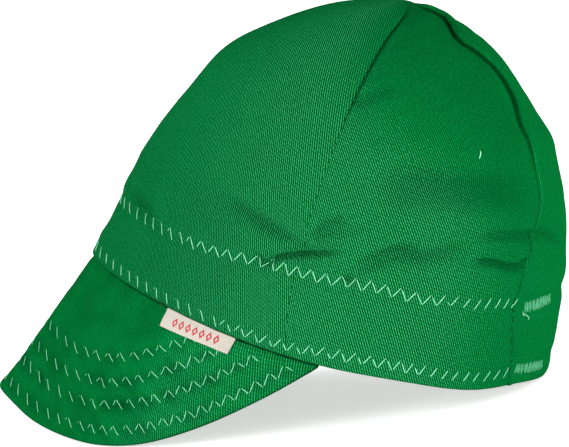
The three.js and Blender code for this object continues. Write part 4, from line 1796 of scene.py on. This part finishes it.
    def bar_tack(self, name: str, start: tuple[float, float], end: tuple[float, float], tall: float) -> None:
        """A dense bar of stitches from one (angle, height) point of the crown to another.

        Args:
            name: The tack's name.
            start: Its first point.
            end: Its last point.
            tall: Its height, in mm.
        """
        random = np.random.default_rng(len(name))
        for layer, count in enumerate((56, 50)):
            t = np.linspace(0, 1, count + 1)
            holes = np.outer(1 - t, start) + np.outer(t, end)
            holes[:, 1] += np.where(np.arange(count + 1) % 2, 0.5, -0.5) * tall
            holes += random.uniform(-0.48, 0.48, holes.shape)
            ends_sunk = np.sin(np.pi * np.linspace(0.12, 0.88, count)) ** 0.4
            showing = random.uniform(0.35, 0.85, count) * ends_sunk
            self.legs(
                f"{name}_{layer}", holes, showing, self.on_crown, self.tack_radius, self.rubbed_thread
            )

    def stray(self, loose: LooseThread) -> None:
        """Lays a loose thread on the crown.

        Args:
            loose: The thread.
        """
        angle, height, off = smooth_path(loose.path, 6 * len(loose.path))
        point, normal = self.on_crown(angle, height)
        line = point + normal * off[:, None]
        thread = self.dark_thread if loose.dark else self.thread
        self.lay(loose.name, line[None], normal[None], loose.radius, thread)

    def build(self) -> None:
        """Sews the whole cap."""
        self.crown_row("crown_stitches_band", BAND_ROW, 1)
        self.crown_row("crown_stitches_hem", HEM_ROW, 2)
        self.brim_rows()
        self.band_rows()
        self.bar_tack("bar_tack_upper", (159, 32.2), (173, 33.8), 4.8)
        self.bar_tack("bar_tack_lower", (159.5, 6.4), (176, 4.2), 4.8)
        for loose in self.loose:
            self.stray(loose)


# --- studio
@dataclass
class Studio:
    """A round white paper tent with a large soft key lamp, and the camera."""

    form: CapForm
    paper: Material
    floor_radius: float = 3.0
    bend: float = 1.5
    wall: float = 3.0
    floor_height: float = -0.0003
    azimuth: float = 18.0
    elevation: float = 12.3
    roll: float = 11.48
    distance: float = 800.0
    target: tuple[float, float, float] = (23.85, 0.0, 31.42)
    focal: float = 1803.2
    sides: int = 96
    sky: float = 0.38

    def build_stage(self) -> None:
        """The floor, which bends up into a wall all round."""
        flat = np.linspace(0, self.floor_radius, 8)
        turn = np.linspace(0, np.pi / 2, 14)[1:]
        radius = np.concatenate([flat, self.floor_radius + self.bend * np.sin(turn)])
        height = np.concatenate([0 * flat, self.bend * (1 - np.cos(turn))])
        radius, height = np.append(radius, radius[-1]), np.append(height, self.wall)
        around = np.radians(np.arange(self.sides) * 360 / self.sides)
        points = np.stack([
            np.outer(radius, np.cos(around)), np.outer(radius, np.sin(around)),
            np.outer(height + self.floor_height, np.ones(self.sides)),
        ], axis=-1)
        i, j = np.meshgrid(np.arange(len(radius) - 1), np.arange(self.sides), indexing="ij")
        near, far, after = i * self.sides, (i + 1) * self.sides, (j + 1) % self.sides
        walls = np.stack([near + j, far + j, far + after, near + after], axis=-1)
        mesh = mesh_from("paper_tent", points.reshape(-1, 3), walls.reshape(-1, 4))
        new_object("paper_tent", mesh, self.paper)

    def build_lights(self) -> None:
        """A bright even sky and two soft lamps."""
        world = bpy.data.worlds.new("studio")
        world.use_nodes = True
        sky = world.node_tree.nodes["Background"]
        sky.inputs["Color"].default_value = (1, 1, 1, 1)
        sky.inputs["Strength"].default_value = self.sky
        bpy.context.scene.world = world
        self.lamp("key", place=(0.75, 1.5, 0.75), size=0.7, power=14.2)
        self.lamp("fill", place=(-1.5, 0.35, 0.2), size=1.0, power=12.0)

    def lamp(self, name: str, place: tuple[float, float, float], size: float, power: float) -> None:
        """A square soft lamp that faces the cap.

        Args:
            name: The lamp's name.
            place: Where it stands, in metres.
            size: Its side, in metres.
            power: Its power, in watts.
        """
        light = bpy.data.lights.new(name, "AREA")
        light.size = size
        light.energy = power
        lamp = bpy.data.objects.new(name, light)
        lamp.location = place
        aim = Vector((0, 0, 0.08)) - Vector(place)
        lamp.rotation_euler = aim.to_track_quat("-Z", "Y").to_euler()
        bpy.context.scene.collection.objects.link(lamp)

    def build_camera(self) -> None:
        """The camera, level with the cap's side and a little behind it."""
        turn, rise = math.radians(self.azimuth), math.radians(self.elevation)
        back = np.array([-math.sin(turn) * math.cos(rise), math.cos(turn) * math.cos(rise), math.sin(rise)])
        right = np.array([-math.cos(turn), -math.sin(turn), 0.0])
        up = np.cross(back, right)
        cos, sin = cos_sin(self.roll)
        right, up = cos * right + sin * up, cos * up - sin * right
        eye = self.form.place(np.array(self.target) + self.distance * back)
        columns = [self.form.standing(axis) for axis in (right, up, back)]
        data = bpy.data.cameras.new("camera")
        data.sensor_width = SENSOR_WIDTH
        data.lens = SENSOR_WIDTH * self.focal / IMAGE_WIDTH
        data.clip_start = 0.01
        camera = bpy.data.objects.new("camera", data)
        matrix = Matrix([list(row) for row in np.stack(columns, axis=-1)]).to_4x4()
        matrix.translation = Vector(eye)
        camera.matrix_world = matrix
        bpy.context.scene.collection.objects.link(camera)
        bpy.context.scene.camera = camera

    def build(self) -> None:
        """Sets up the stage, the lights, the camera and a plain view transform."""
        self.build_stage()
        self.build_lights()
        self.build_camera()
        bpy.context.scene.view_settings.view_transform = "Standard"


def main() -> None:
    logging.basicConfig(level=logging.INFO, format="%(message)s")
    form = CapForm()
    twill = CottonTwill("green_cotton_twill").build()
    brim_twill = CottonTwill("green_cotton_twill_brim").build()
    band_cloth = CottonTwill("green_cotton_twill_inside", float_and_sheen_colour="#3c9262").build()
    thread = SewingThread("pale_green_sewing_thread").build()
    rubbed = SewingThread("rubbed_sewing_thread", "#6cbe92", "#1d7f4d", 0.5).build()
    dark = SewingThread("dark_green_sewing_thread", "#0f4f2b", "#05301a").build()
    ribbon = WovenRibbon("woven_ribbon").build()
    crown = Crown(form, twill)
    band = Sweatband(form, band_cloth)
    brim = Brim(form, brim_twill)
    crown.build()
    band.build()
    brim.build()
    Label(form, ribbon).build()
    Sewing(form, crown, brim, band, thread, rubbed, dark).build()
    Studio(form, PaperSweep("white_paper").build()).build()


if __name__ == "__main__":
    main()
